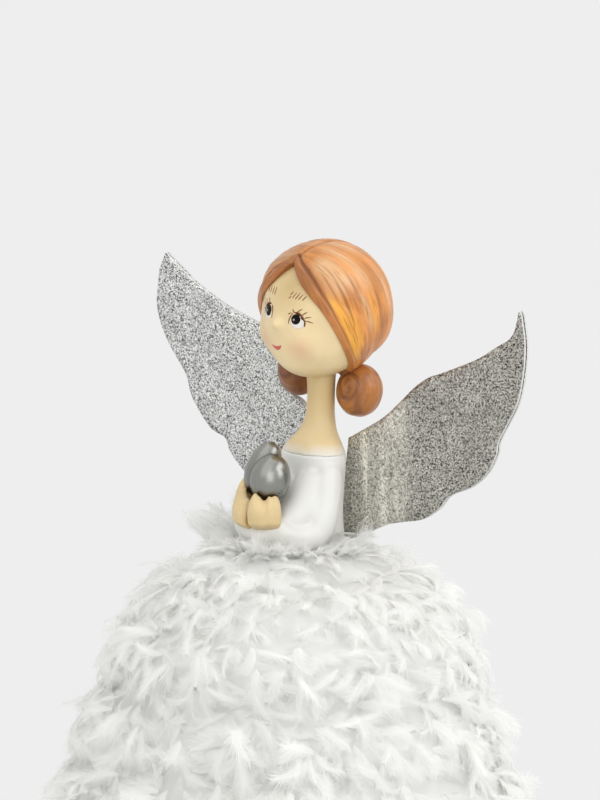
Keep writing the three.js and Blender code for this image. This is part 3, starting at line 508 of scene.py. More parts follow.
# Polar angle from the face and turn about it in degrees, spread in degrees, rise as a share
FACE_FORMS = [
    ((1.5, 180), 5.2, 0.135),
    ((62, 180), 24, 0.07),
    ((48, 125), 14, 0.035),
    ((48, -125), 14, 0.035),
    ((42, 90), 15, -0.09),
    ((42, -90), 15, -0.09),
]
HAIR_FORMS = [
    ((68, 34), 24, 0.06),
    ((68, -56), 24, 0.06),
    ((127, 106), 24, 0.07),
    ((127, -106), 24, 0.07),
]
PARTING_TURN = -12
BRIM_TURNS = [0, 10, 24, 40, 56, 72, 88, 104, 120, 140, 160, 180]
LEFT_BRIM = smooth_through(BRIM_TURNS, [59, 50, 43, 40.5, 41, 44.5, 50, 58, 69, 86, 100, 113])
RIGHT_BRIM = smooth_through(BRIM_TURNS, [59, 50, 43, 41, 45, 55, 65, 74, 83, 94, 104, 113])
HAIR = {
    "radius": 26.0,
    "back": 3.4,
    "up": 4.0,
    "brim": 1.7,
    "roll": 0.9,
    "groove": 0.55,
    "parting": 0.9,
    "least": 0.25,
    "lining": 1.0,
}
BUN = {"radius": 9.4, "half_height": 10.8, "aside": 16.3, "back": 10.5, "down": 28.9}
TIE_RADII = [4.6, 4.1, 4.4]
# The rolled knot on a bun, from the bun's middle
KNOT_SPOTS = [(-4.4, -9.4, 8.6), (-4.4, -8.2, 9.2), (-1.8, -5.6, 11.4)]
KNOT_RADII = [1.7, 2.3, 2.0]


def aim(polar, turn):
    """Directions in the head's own frame, which faces -Y."""
    polar, turn = np.radians(polar), np.radians(turn)
    x = np.sin(polar) * np.sin(turn)
    y = -np.cos(polar) * np.ones_like(turn)
    z = np.sin(polar) * np.cos(turn)
    return np.stack([x, y, z], -1)


def swell(directions, forms):
    """How far the forms stand out in these directions, as a share of the radius."""
    total = np.zeros(directions.shape[:-1])
    for (polar, turn), spread, rise in forms:
        away = np.degrees(np.arccos(np.clip(directions @ aim(polar, turn), -1, 1)))
        total += rise * np.exp(-((away / spread) ** 2))
    return total


def face_radius(directions):
    """How far the face's skin is from the head's centre."""
    return HEAD_RADIUS * (1 + swell(directions, FACE_FORMS))


def from_head(points):
    """Points of the head's own frame in the frame of the model."""
    c, s = math.cos(HEAD_TILT), math.sin(HEAD_TILT)
    points = np.asarray(points, float)
    x, y, z = points[..., 0], points[..., 1], points[..., 2]
    return np.stack([x * c + z * s, y, z * c - x * s], -1) + HEAD_CENTRE


def hair_radius(directions, share):
    """The hair's outside: a ball set back, and never closer to the face than the brim."""
    centre = np.array([0, HAIR["back"], HAIR["up"]])
    along = directions @ centre
    ball = along + np.sqrt(along**2 - centre @ centre + HAIR["radius"] ** 2)
    ball = ball + HAIR["radius"] * swell(directions, HAIR_FORMS)
    brim = HAIR["brim"] * np.clip(share / 0.05, 0.3, 1)
    return np.maximum(ball, face_radius(directions) + brim)


class ANGEL_OT_head(bpy.types.Operator):
    """Head and neck: one cast skin with a small nose, full cheeks and a round chin"""

    bl_idname = "angel.head"
    bl_label = "Head and Neck"

    def execute(self, context):
        paint = context.scene.angel_paint
        rows, columns = 90, 140
        polar = np.linspace(0, 180, rows + 2)[1:-1]
        turn = np.arange(columns) * 360 / columns
        directions = aim(polar[:, None], turn[None, :])
        skull = capped(list(from_head(directions * face_radius(directions)[..., None])))
        piece = mesh_piece("head", *joined([skull, capped(neck_rings())]))
        remesh(piece, "head")
        hand_over(piece, skin_material(paint), replaces=["head_and_neck"])
        return {"FINISHED"}


def neck_rings(rows=44, columns=64):
    """Sections from the shoulders up into the head."""
    turns = np.linspace(0, 2 * math.pi, columns, endpoint=False)
    rings = []
    for up in np.linspace(0, NECK_TOP_SHARE, rows):
        over, wide, deep = NECK_SHARES(up)
        half_width = NECK["half_width"] + wide * (TORSO["half_width"] - NECK["half_width"])
        half_depth = NECK["half_depth"] + deep * (TORSO["half_depth"] - NECK["half_depth"])
        x = up * HEAD_CENTRE[0] + half_width * np.cos(turns)
        y = TORSO["back"] + over * (NECK["back"] - TORSO["back"]) + half_depth * np.sin(turns)
        rings.append(np.stack([x, y, np.full(columns, SHOULDER_LINE + up * NECK["rise"])], -1))
    return rings


# Blush and painted shade on the skin, in millimetres: spots in the head's own frame with their radii, for
# the cheeks' blush and the painted shade of the hair's brim on the brow, and the heights between which
# the painted shadow under the chin and the pearl paint of the neckline come and go
CHEEK = {"centre": (9.5, -20.3, -10.0), "radius": 7.5}
BROW_SHADE = {"centre": (1.0, -20.0, 14.0), "radius": 15}
CHIN_SHADOW = (272, 267)
NECK_SHADE = (240, 258)
NECKLINE = (233.5, 237.5)


def blush_and_shade_at(shader, centre, radius):
    """A soft round mask about a point of the face, in the head's own frame."""
    middle = tuple(from_head(np.array(centre)) * MM)
    away = shader.vector("DISTANCE", {0: shader.coordinates(), 1: middle}, "Value")
    return shader.between(away, (0, radius), 1, 0)


def skin_material(paint):
    """Cream paint: pink cheeks, painted shade in ochre under the hair's brim, under the chin and in the
    hollows, pearl at the neckline.
    """
    shader = Shader("skin_paint", Specular_IOR_Level=0.4)
    tone = shader.mottle(paint.skin, 0.05, 70, 2)
    across, ahead, up = CHEEK["centre"]
    for side in (1, -1):
        cheek = blush_and_shade_at(shader, (side * across, ahead, up), CHEEK["radius"])
        tone = shader.mix(shader.calc("MULTIPLY", cheek, 0.5), tone, paint.blush)
    # Painted shade of the hair's brim on the brow
    brow = shader.span(blush_and_shade_at(shader, BROW_SHADE["centre"], BROW_SHADE["radius"]), 0, 1, 0, 0.8)
    tone = shader.mix(brow, tone, paint.painted_skin_shade)
    height = shader.axis("Z")
    # Painted shadow under the chin, on the neck
    below = shader.between(height, CHIN_SHADOW)
    above = shader.between(height, NECK_SHADE, 0.15, 0.6)
    tone = shader.mix(shader.calc("MULTIPLY", below, above), tone, paint.painted_skin_shade)
    # Painted shade in the hollows of the face
    hollow_shade = shader.span(shader.openness(0.014, 6), 0.45, 0.95, 0.6, 0.0)
    tone = shader.mix(hollow_shade, tone, paint.painted_skin_shade)
    # The skin's paint thins out over the pearl paint in a wavy line
    wavy = shader.calc("MULTIPLY", shader.noise(160), 0.004)
    line = shader.calc("SUBTRACT", height, wavy)
    tone = shader.mix(shader.between(line, NECKLINE, 0.85, 0), tone, paint.dress)
    shader.base(tone)
    shader.rough(shader.noise(200), 0.34, 0.42)
    shader.bump(shader.noise(1100, 3), 0.12, 0.00003)
    return shader.material


# Painted details in the face's front view: x and z in millimetres in the head's own frame
EYES = [
    {"white": (8.45, 1.95, 2.6, 2.65), "iris": (7.65, 3.0, 1.75, 2.1), "glint": (6.95, 2.7, 0.4, 0.5)},
    {"white": (-7.2, 2.0, 2.4, 2.6), "iris": (-6.9, 2.9, 1.9, 2.2), "glint": (-7.6, 2.7, 0.4, 0.5)},
]
# Strokes of the line paint: half width and points
STROKES = [
    (0.2, [(6.1, 5.2), (5.35, 3.7), (5.0, 2.0), (5.1, 0.6)]),
    (0.2, [(6.6, 5.6), (8.2, 5.9), (9.6, 4.9), (10.8, 3.1), (11.1, 1.8), (11.0, 0.5)]),
    (0.17, [(4.1, 4.3), (4.8, 4.9), (5.5, 5.2)]),
    (0.2, [(5.5, 6.6), (6.1, 6.0), (6.5, 5.4)]),
    (0.19, [(7.7, 6.0), (8.4, 6.8), (9.2, 7.5)]),
    (0.2, [(9.7, 5.0), (10.3, 5.8), (11.1, 6.6)]),
    (0.17, [(10.7, 4.0), (11.6, 4.5), (12.6, 4.7)]),
    (0.19, [(11.1, 3.0), (12.1, 2.8), (13.3, 2.4)]),
    (0.16, [(2.1, 10.1), (2.5, 10.7), (2.9, 11.2)]),
    (0.19, [(2.2, 11.5), (2.6, 12.3), (3.0, 13.0)]),
    (0.15, [(3.7, 10.7), (4.1, 11.9), (4.5, 13.0)]),
    (0.19, [(5.0, 10.5), (5.5, 11.9), (5.9, 13.2)]),
    (0.19, [(6.4, 10.6), (6.8, 11.7), (7.2, 12.8)]),
    (0.2, [(8.0, 10.6), (8.4, 11.6), (8.8, 12.5)]),
    (0.2, [(-5.4, 5.6), (-4.4, 4.6), (-4.0, 2.6), (-3.9, 0.6)]),
    (0.2, [(-5.9, 5.9), (-7.6, 5.9), (-9.0, 4.9), (-10.0, 3.0), (-10.2, 0.8)]),
    (0.18, [(-7.4, 6.2), (-8.1, 6.9), (-8.8, 7.5)]),
    (0.18, [(-9.2, 5.1), (-10.0, 5.8), (-10.8, 6.4)]),
    (0.18, [(-10.0, 3.9), (-11.0, 4.3), (-12.0, 4.5)]),
    (0.18, [(-10.3, 2.6), (-11.4, 2.4), (-12.4, 2.0)]),
    (0.19, [(-6.0, 9.5), (-6.2, 10.9), (-6.6, 12.2)]),
    (0.18, [(-7.6, 9.4), (-7.9, 10.7), (-8.3, 12.0)]),
    (0.18, [(-9.3, 9.3), (-9.7, 10.5), (-10.2, 11.6)]),
    (0.18, [(-11.0, 9.1), (-11.5, 10.1), (-12.1, 11.0)]),
]
MOUTH = [
    (-4.5, -10.9), (-3.4, -10.9), (-2.0, -10.9), (-0.5, -10.5), (1.2, -9.7), (0.7, -11.0), (-0.6, -12.1),
    (-2.0, -12.5), (-3.4, -12.0),
]


# In millimetres: where the rays at the face start, and how deep the paint's rim is sunk
IN_FRONT = 60.0
SUNK_RIM = 0.15


def front_hits(tree, spots):
    """Points and normals of the face behind front-view spots, in millimetres of the model."""
    into_face = Vector((0, 1, 0))
    places, normals = [], []
    for x, z in spots:
        start = from_head(np.array([x, -IN_FRONT, z])) * MM
        place, normal, _, _ = tree.ray_cast(Vector(start), into_face)
        places.append(np.array(place) / MM)
        normals.append(np.array(normal))
    return np.array(places), np.array(normals)


def decal(tree, outlines, rise):
    """A thin closed patch of paint from rings of front-view spots, outermost first."""
    points, faces = [], []
    count = len(outlines[0])
    for ring in outlines:
        places, normals = front_hits(tree, ring)
        points.append(places + normals * rise)
    places, normals = front_hits(tree, outlines[0])
    points.insert(0, places - normals * SUNK_RIM)
    middle, normal = front_hits(tree, [np.mean(outlines[-1], axis=0)])
    rows = len(points)
    points = np.concatenate(points + [middle + normal * rise])
    faces = grid_faces(rows, count)
    last = len(points) - 1
    faces += [(last, (rows - 1) * count + j, (rows - 1) * count + (j + 1) % count) for j in range(count)]
    faces.append(tuple(reversed(range(count))))
    return points, faces


def oval(x, z, half_width, half_height, lean=0.0, count=28, rings=5):
    """Rings of an oval, outermost first."""
    turns = np.linspace(0, 2 * math.pi, count, endpoint=False)
    c, s = math.cos(lean), math.sin(lean)
    shapes = []
    for share in np.linspace(1, 0.15, rings):
        u, v = share * half_width * np.cos(turns), share * half_height * np.sin(turns)
        shapes.append(np.stack([x + u * c - v * s, z + u * s + v * c], -1))
    return shapes


def stroke(half_width, points):
    """Rings of a thin tapered brush stroke."""
    line = smooth_through(np.linspace(0, 1, len(points)), points)
    shares = np.linspace(0, 1, 9)
    places = line(shares)
    along = unit(np.gradient(places, axis=0))
    side = np.stack([-along[:, 1], along[:, 0]], -1)
    width = half_width * (0.45 + 0.55 * np.sin(math.pi * np.clip(shares * 0.9 + 0.12, 0, 1)))[:, None]
    outline = np.concatenate([places + side * width, (places - side * width)[::-1]])
    middle = np.concatenate([places + side * width * 0.3, (places - side * width * 0.3)[::-1]])
    return [outline, middle]


class ANGEL_OT_face_paint(bpy.types.Operator):
    """Painted face: eyes with their whites and glints, lash and brow strokes, and the mouth"""

    bl_idname = "angel.face_paint"
    bl_label = "Face Paint"

    def execute(self, context):
        paint = context.scene.angel_paint
        head = bpy.data.objects["head"]
        tree = BVHTree.FromPolygons(
            [v.co for v in head.data.vertices], [p.vertices for p in head.data.polygons]
        )
        whites = [oval(*eye["white"]) for eye in EYES]
        irises = [oval(*eye["iris"]) for eye in EYES]
        glints = [oval(*eye["glint"], count=14, rings=3) for eye in EYES]
        # Name, shapes, rise above the skin in millimetres, and paint
        layers = [
            ("eye_whites", whites, 0.05, eye_white_material()),
            ("eyes", irises, 0.12, eye_material()),
            ("eye_glints", glints, 0.17, glint_material()),
            ("lashes_and_brows", [stroke(*s) for s in STROKES], 0.09, ink_material(paint)),
            ("mouth", [mouth_rings()], 0.09, lip_material(paint)),
        ]
        for name, shapes, rise, material in layers:
            piece = mesh_piece(name, *joined([decal(tree, rings, rise) for rings in shapes]))
            hand_over(piece, material)
        return {"FINISHED"}


def mouth_rings():
    """Rings of the mouth's outline, outermost first."""
    closed = np.array(MOUTH + MOUTH[:1])
    outline = smooth_through(np.linspace(0, 1, len(closed)), closed)(np.linspace(0, 1, 37)[:-1])
    middle = outline.mean(0)
    return [middle + (outline - middle) * share for share in (1, 0.7, 0.35)]


def eye_white_material():
    """Off-white paint of the eyes."""
    return plain_paint("eye_white_paint", (0.76, 0.72, 0.66), 0.4, 0.03)


def eye_material():
    """Nearly black paint with hardly any shine."""
    shader = Shader("eye_black_paint", Specular_IOR_Level=0.08)
    black, soft_black = (0.006, 0.005, 0.004), (0.016, 0.011, 0.008)
    shader.base(shader.ramp(shader.noise(400), [(0.3, black), (0.7, soft_black)]))
    shader.rough(shader.noise(300), 0.34, 0.42)
    return shader.material


def glint_material():
    """Grey dots on the dark of the eyes: painted highlights."""
    return plain_paint("eye_glint_paint", (0.3, 0.3, 0.3), 0.4, 0.05)


def ink_material(paint):
    """Brown line paint, thin in places."""
    shader = Shader("line_paint")
    low, high = tones(paint.ink, 0.4)
    shader.base(shader.ramp(shader.noise(900), [(0.35, low), (0.7, high)]))
    shader.rough(shader.noise(500), 0.4, 0.5)
    return shader.material


def lip_material(paint):
    """Red paint of the mouth."""
    shader = Shader("lip_paint")
    shader.base(shader.mottle(paint.lips, 0.25, 500))
    shader.rough(shader.noise(500), 0.3, 0.4)
    return shader.material


# Hair

# Furrows between the modelled locks: strand in degrees about the tie, half width and depth
FURROWS = [
    (49, 1.3, 0.22), (38, 1.8, 0.14), (27, 1.3, 0.2), (12, 1.8, 0.2), (-6, 1.5, 0.16),
    (-24, 1.8, 0.24), (-43, 1.6, 0.2), (-66, 2.0, 0.28), (-92, 2.4, 0.25), (-124, 2.4, 0.25),
    (-158, 2.4, 0.2), (150, 2.4, 0.2), (118, 2.4, 0.2), (92, 2.0, 0.2),
]
# Patches of paint: tone, strand and its half width, way from the tie in degrees, and strength
PATCHES = [
    ("gold", 58, 6, 40, 106, 1.0), ("gold", 48, 4, 48, 86, 1.0), ("gold", 25, 3, 60, 94, 0.7),
    ("gold", -14, 5, 60, 112, 0.6),
    ("light", 44, 11, 104, 140, 1.0), ("light", 22, 6, 98, 146, 0.7), ("light", 0, 8, 122, 160, 0.6),
    ("light", 33, 4, 62, 96, 0.6), ("light", -34, 7, 96, 150, 0.5), ("light", 2, 4, 70, 104, 0.6),
    ("dark", 49, 0.9, 74, 116, 0.8), ("dark", 53, 0.9, 100, 128, 0.7), ("dark", 34, 0.9, 86, 114, 0.7),
    ("dark", 40, 2.2, 80, 108, 0.5), ("dark", 18, 0.9, 58, 98, 0.6), ("dark", 7, 0.9, 70, 112, 0.5),
    ("dark", -9, 0.9, 50, 120, 0.5), ("dark", -28, 1.0, 40, 110, 0.6), ("dark", -46, 1.0, 40, 110, 0.5),
    ("dark", 40, 9, 8, 46, 0.6), ("dark", 12, 7, 10, 66, 0.45), ("dark", -24, 9, 8, 60, 0.5),
    ("dark", 66, 6, 8, 60, 0.5), ("dark", -60, 12, 8, 70, 0.5),
]
TONES = ["gold", "light", "dark"]


def bun_middle(side):
    """The middle of a bun, in the head's own frame."""
    return np.array([side * BUN["aside"], BUN["back"], -BUN["down"]])


def strand_field(directions, side):
    """Which strand each direction lies on, as a turn about the tie, and its way from the tie."""
    tie = unit(bun_middle(side))
    crown = unit(np.array([0.0, 0.0, 1.0]) - tie * tie[2])
    across = side * np.cross(tie, crown)
    away = np.arccos(np.clip(directions @ tie, -1, 1))
    turn = np.arctan2(directions @ across, directions @ crown)
    return turn, away


def combed(strand, away):
    """Relief of the modelled locks in millimetres."""
    turn = np.degrees(strand) + 1.6 * np.sin(away * 2.4)
    total = np.zeros(turn.shape)
    for line, half_width, depth in FURROWS:
        off = (turn - line - 1.2 * np.sin(away * 3 + line) + 180) % 360 - 180
        total -= depth * np.exp(-((off / half_width) ** 2))
    total += 0.05 * np.sin(turn * 0.9 + 2 * np.sin(away * 2))
    total += 0.035 * np.sin(turn * 2.3 + 3 * np.sin(away * 1.6))
    return total * np.clip((away - 0.12) / 0.4, 0, 1)


def patches(strand, away):
    """How much of each paint tone there is at a place of the hair."""
    turn, way = np.degrees(strand), np.degrees(away)
    weights = np.zeros((*turn.shape, len(TONES)))
    for tone, line, half_width, start, end, strength in PATCHES:
        off = turn - line - 1.5 * np.sin(away * 3 + line)
        ends = np.clip((way - start) / 12 + 0.5, 0, 1) * np.clip((end - way) / 12 + 0.5, 0, 1)
        weight = strength * np.exp(-((off / half_width) ** 2)) * ends
        index = TONES.index(tone)
        weights[..., index] = np.maximum(weights[..., index], weight)
    return weights


class HairCap:
    """The cap as a grid of directions from the brim back to the pole, with its strands and locks."""

    rows = 120
    columns = 260

    def __init__(self):
        k = np.arange(self.columns)
        from_parting = 360 * np.minimum(k, self.columns - k) / self.columns
        left = k < self.columns / 2
        edge = np.where(left, LEFT_BRIM(from_parting), RIGHT_BRIM(from_parting))
        turn = PARTING_TURN + 360 * k / self.columns
        # The rows stand closer together near the brim
        self.share = (np.linspace(0, 1, self.rows + 1)[:-1] ** 1.15)[:, None]
        polar = edge + (180 - edge) * self.share
        self.directions = aim(polar, turn + 0 * polar)
        self.left = left[None, :]
        left_turn, left_away = strand_field(self.directions, 1)
        right_turn, right_away = strand_field(self.directions, -1)
        self.strand = np.where(left, left_turn, right_turn)
        self.away = np.where(left, left_away, right_away)
        # The parting is a crease from the brim over the crown
        apart = np.abs(self.directions @ parting_plane())
        self.crease = np.exp(-((apart / 0.03) ** 2)) * (self.directions[..., 2] > -0.2)
        # A rolled lock lies along the brim, with a groove behind it; both run out towards the nape
        roll_width = np.interp(from_parting, [0, 25, 90], [8, 11, 7.5])
        self.roll_way = self.share * (180 - edge) / roll_width
        self.groove = np.exp(-(((self.roll_way - 1.08) / 0.15) ** 2))
        self.seen = np.clip(1.25 - from_parting / 140, 0, 1)

    def rings(self):
        """Sections from the pole to the brim, and from there in under the skin."""
        roll = np.sin(np.clip(self.roll_way, 0, 1) * math.pi) ** 0.8 * HAIR["roll"]
        brim = (roll - HAIR["groove"] * self.groove) * self.seen
        relief = combed(self.strand, self.away) * np.clip(self.roll_way - 0.6, 0.15, 1)
        radius = hair_radius(self.directions, self.share) + relief + brim - HAIR["parting"] * self.crease
        radius = np.maximum(radius, face_radius(self.directions) + HAIR["least"])
        outside = self.directions * radius[..., None]
        inner = self.directions[5]
        lining = inner * (face_radius(inner) - HAIR["lining"])[:, None]
        return [*outside[::-1], outside[0] * 0.985, lining]

    def zones(self):
        """How much gold, light and dark paint there is at each place; the right side has less gold and
        light and more dark, as painted shade.
        """
        # Painted shade: the right side, away from the lamps, has less gold and light and is browned all
        # over
        zones = patches(self.strand, self.away) * np.where(self.left, 1.0, 0.6)[..., None]
        # Brown on the roll, darkest in its groove and along the parting
        brown = np.maximum(0.62 * (self.roll_way < 1.02), 1.5 * self.groove) * self.seen
        right_side_shade = 0.35 * (1 - self.left) + 0 * self.strand
        zones[..., 2] = np.maximum.reduce([zones[..., 2], brown, 0.75 * self.crease, right_side_shade])
        zones[..., :2] *= (1 - np.clip(brown * 1.6, 0, 0.85))[..., None]
        return zones


class ANGEL_OT_hair(bpy.types.Operator):
    """Hair: a combed cap with a middle parting, a rolled brim and two swept curtains"""

    bl_idname = "angel.hair"
    bl_label = "Hair"

    def execute(self, context):
        cap = HairCap()
        rings = cap.rings()
        pole = [[0, hair_radius(aim(180.0, 0.0), 1.0), 0]]
        points = np.concatenate([*rings, pole, [[0, 0, 0]]])
        piece = mesh_piece("hair_cap", from_head(points), closed_grid(len(rings), cap.columns))
        # The cap's inside and its end points have dark paint without strands
        spare = len(points) - cap.rows * cap.columns
        flow = np.stack([cap.strand, cap.away, cap.roll_way], -1)
        for name, values, rest in (("flow", flow, [0, 0, 0]), ("paint_zone", cap.zones(), [0, 0, 0.8])):
            outside = values[::-1].reshape(-1, 3)
            write_vectors(piece, name, np.concatenate([outside, np.tile(rest, (spare, 1))]))
        hand_over(piece, hair_material(context.scene.angel_paint), replaces=["hair"])
        return {"FINISHED"}


def parting_plane():
    """Normal of the upright plane that the parting lies in."""
    brow = aim(59.0, float(PARTING_TURN))
    crown = unit(np.array([0.06, 0.55, 0.85]))
    return unit(np.cross(brow, crown))


def hair_material(paint, name="hair_paint", darkening=0.0):
    """Painterly hair paint: soft patches of gold and light, brown patches and thin brush lines, darker
    blotches where asked, and painted shade in brown on the right side and the right bun.
    """
    shader = Shader(name, Specular_IOR_Level=0.4, Coat_Weight=0.15, Coat_Roughness=0.15)
    split = shader.add("ShaderNodeSeparateXYZ", {"Vector": shader.attribute("paint_zone")})
    flow = shader.attribute("flow")
    wide = shader.place((5, 1.6, 0.2), flow)
    lines = shader.place((34, 2.0, 0.4), flow)
    fine = shader.place((60, 3.0, 1.0), flow)
    patchy = shader.noise(1.0, 3, 0.6, wide)
    low, high = tones(paint.hair, 0.24)
    tone = shader.ramp(patchy, [(0.32, low), (0.5, paint.hair), (0.68, high)])
    broken = shader.span(shader.noise(1.0, 3, 0.6, lines), 0.35, 0.6, 0.55, 1.15)

    def share_of(channel, most):
        part = shader.calc("MULTIPLY", split.outputs[channel], broken)
        return shader.span(part, 0, 1, 0, most)

    tone = shader.mix(share_of("X", 0.9), tone, paint.hair_gold)
    tone = shader.mix(share_of("Y", 0.85), tone, paint.hair_light)
    tone = shader.mix(share_of("Z", 1.0), tone, paint.hair_dark)
    brushed = shader.span(shader.noise(1.0, 4, 0.6, lines), 0.33, 0.42, 0.5, 0.0)
    tone = shader.mix(brushed, tone, paint.hair_dark)
    # Darker blotches; on the right bun they are mostly painted shade
    if darkening:
        blotch = shader.span(patchy, 0.35, 0.6, darkening * 0.75, darkening)
        tone = shader.mix(blotch, tone, tuple(c * 0.5 for c in paint.hair_dark))
    shader.base(tone)
    shader.rough(shader.noise(1.0, 3, 0.5, lines), 0.3, 0.42)
    shader.bump(shader.noise(1.0, 3, 0.6, fine), 0.18, 0.00012)
    return shader.material


def bun_ball(side, rows=70, columns=110):
    """The coiled ball of a bun, with its strands and its paint zones at each point of the grid."""
    # The coil's eye looks forward
    eye = unit(np.array([side * 0.08, -0.943, 0.32]))
    right = unit(np.cross([0, 0, 1.0], eye))
    up = np.cross(eye, right)
    polar = np.linspace(0, math.pi, rows + 2)[1:-1][:, None]
    turn = np.linspace(0, 2 * math.pi, columns, endpoint=False)[None, :]
    directions = (
        np.cos(polar)[..., None] * eye
        + (np.sin(polar) * np.cos(turn))[..., None] * right
        + (np.sin(polar) * np.sin(turn))[..., None] * up
    )
    coil = polar * 4.6 + side * turn
    inner = np.clip(1.2 - polar, 0, 1) / 1.2
    line = np.abs(np.cos(coil / 2)) ** 12
    radius = BUN["radius"] - line * (1.1 * inner + 0.16) + 0.05 * np.sin(coil * 3)
    stretch = np.array([1, 1, BUN["half_height"] / BUN["radius"]])
    ball = capped(list(bun_middle(side) + directions * radius[..., None] * stretch))
    # A brown ring about the eye, brown lines in the coil, and blots over an even wash
    eye_ring = 0.95 * np.exp(-(((polar - 0.5) / 0.14) ** 2)) + 0 * turn
    spots = (directions * [3.4, 3.4, 1.7]).reshape(-1, 3)
    blots = np.clip(0.2 + 0.75 * lattice_noise(spots, 6), 0.25, 0.75).reshape(line.shape)
    darkening = np.maximum.reduce([eye_ring, (0.8 * inner + 0.1) * line, blots])
    flow = np.stack([coil * 0.4, polar + 0 * turn, 1 + 0 * coil], -1).reshape(-1, 3)
    zones = np.stack([0 * darkening, 0 * darkening, darkening], -1).reshape(-1, 3)
    return ball, flow, zones


class ANGEL_OT_buns(bpy.types.Operator):
    """Side buns: each a coiled ball on a short tie under the cap, with a small rolled knot"""

    bl_idname = "angel.buns"
    bl_label = "Side Buns"

    def execute(self, context):
        # Blotchy darkening of each bun: paint on the left bun, mostly painted shade on the right bun
        # under the chin
        for name, side, bun_darkening in (("left", 1, 0.3), ("right", -1, 0.72)):
            at = bun_middle(side)
            ball, ball_flow, ball_zones = bun_ball(side)
            root = at * (HAIR["radius"] - 5) / np.linalg.norm(at)
            tie = tube([at * 0.9, at * 0.8, root], TIE_RADII, 20)
            knot = tube(at + np.array(KNOT_SPOTS) * [side, 1, 1], KNOT_RADII, 18)
            flow, zones = [ball_flow], [ball_zones]
            # How dark the ball's two end points, the tie and the knot are
            for count, dark in ((2, 0.5), (len(tie[0]), 0.8), (len(knot[0]), 0.9)):
                step = np.arange(count) % 20 / 6
                flow.append(np.stack([step, np.ones(count), np.ones(count)], -1))
                zones.append(np.tile([0, 0, dark], (count, 1)))
            points, faces = joined([ball, tie, knot])
            piece = mesh_piece(f"side_bun_{name}", from_head(points), faces)
            write_vectors(piece, "flow", np.concatenate(flow))
            write_vectors(piece, "paint_zone", np.concatenate(zones))
            material = hair_material(context.scene.angel_paint, f"bun_paint_{name}", bun_darkening)
            hand_over(piece, material, replaces=[f"bun_{name}"])
        return {"FINISHED"}


# Bodice, sleeves, hands and heart

TORSO_SHARES = smooth_through(
    [0, 0.2, 0.42, 0.64, 0.84, 1],
    [[0.94, 0.98], [0.9, 0.95], [0.88, 0.94], [0.91, 0.98], [0.97, 1], [1, 0.98]],
)


def torso_rings(grown=0.0, low=0.0, high=1.0, rows=40, columns=120):
    """Sections of the bodice between two shares of its height, grown outwards in millimetres."""
    turns = np.linspace(0, 2 * math.pi, columns, endpoint=False)
    rings = []
    for up in np.linspace(low, high, rows):
        wide, deep = TORSO_SHARES(up)
        x = (wide * TORSO["half_width"] + grown) * np.cos(turns)
        y = TORSO["back"] + (deep * TORSO["half_depth"] + grown) * np.sin(turns)
        rings.append(np.stack([x, y, np.full(columns, WAIST + up * TORSO["height"])], -1))
    return rings


def dress_material(paint):
    """Pearl paint, with painted shade, a little warmer and darker, in the creases."""
    shader = Shader("dress_paint", Specular_IOR_Level=0.45, Coat_Weight=0.2, Coat_Roughness=0.3)
    tone = shader.mottle(paint.dress, 0.03, 60, 2)
    # Painted shade in the creases
    darkening = shader.span(shader.openness(0.006, 4), 0.2, 0.7, 0.2, 0.0)
    shader.base(shader.mix(darkening, tone, paint.painted_dress_shade))
    shader.rough(shader.noise(180), 0.36, 0.46)
    shader.bump(shader.noise(420, 3), 0.12, 0.00005)
    return shader.material


# Each arm from shoulder to wrist: shares of the torso's half width, half depth and height
UPPER_ARM = [[0.74, -0.25, 0.84], [0.86, -0.6, 0.64], [0.92, -0.9, 0.42], [0.88, -1.2, 0.25]]
FOREARMS = {
    1: [[0.72, -1.85, 0.2], [0.52, -2.45, 0.25], [0.38, -2.8, 0.33]],
    -1: [[0.8, -1.85, 0.2], [0.68, -2.45, 0.25], [0.56, -2.85, 0.33]],
}
ARM_RADII = [5.3, 6.1, 6.2, 6.1, 5.9, 5.5, 5.4, 5.2]
# The cloth under each arm and the joined cuffs, in millimetres
UNDERARM = [(6.5, 8, 224), (6.5, 0, 215), (6.0, -9, 209.5)]
UNDERARM_RADII = [8.0, 8.6, 6.0]
CUFFS = [(6.5, -15.0, 208.5), (0.5, -17.5, 206.0), (-8.0, -16.0, 208.0)]
CUFF_RADII = [5.2, 5.4, 5.2]
FOLDS = {"turns_per_mm": [0.12, 0.2, 0.1], "depth": 0.3}


class ANGEL_OT_dress(bpy.types.Operator):
    """Dress: the fitted pearl-white bodice and its close sleeves, one cast skin with soft creases"""

    bl_idname = "angel.dress"
    bl_label = "Dress"

    def execute(self, context):
        # The bodice's upper edge turns in towards the neck
        edge = torso_rings(-0.25, 1.0, 1.0, 1) + torso_rings(-1.6, 1.012, 1.012, 1)
        parts = [capped(torso_rings(high=0.985) + edge)]
        for side in (1, -1):
            line = [
                (
                    side * wide * TORSO["half_width"],
                    TORSO["back"] + deep * TORSO["half_depth"],
                    WAIST + up * TORSO["height"],
                )
                for wide, deep, up in UPPER_ARM + FOREARMS[side]
            ]
            parts.append(tube(np.array(line), ARM_RADII, 48))
            parts.append(tube(np.array(UNDERARM) * [side, 1, 1], UNDERARM_RADII, 32))
        parts.append(tube(np.array(CUFFS), CUFF_RADII, 32))
        piece = mesh_piece("dress_cast", *joined(parts))
        remesh(piece, "dress")
        points = points_of(piece)
        folds = FOLDS["depth"] * lattice_noise(points * FOLDS["turns_per_mm"], 5)
        set_points(piece, points + normals_of(piece) * folds[:, None])
        material = dress_material(context.scene.angel_paint)
        hand_over(piece, material, replaces=["bodice", "sleeve_left", "sleeve_right"])
        return {"FINISHED"}


# The heart's lobes, 1 on the figure's left side and -1 on its right; splay, sway and lean in degrees
HEART = {
    "radii": {1: 8.1, -1: 6.9},
    "half_heights": {1: 10.0, -1: 11.6},
    "taper": 0.04,
    "apart": 6.2,
    "step": 3.2,
    "drop": 4.1,
    "splay": -5.5,
    "sway": 8.5,
    "lean": 15.5,
    "front": 13.2,
    "rise": 34.6,
}
HEART_CENTRE = np.array([0, -HEART["front"], WAIST + HEART["rise"]])


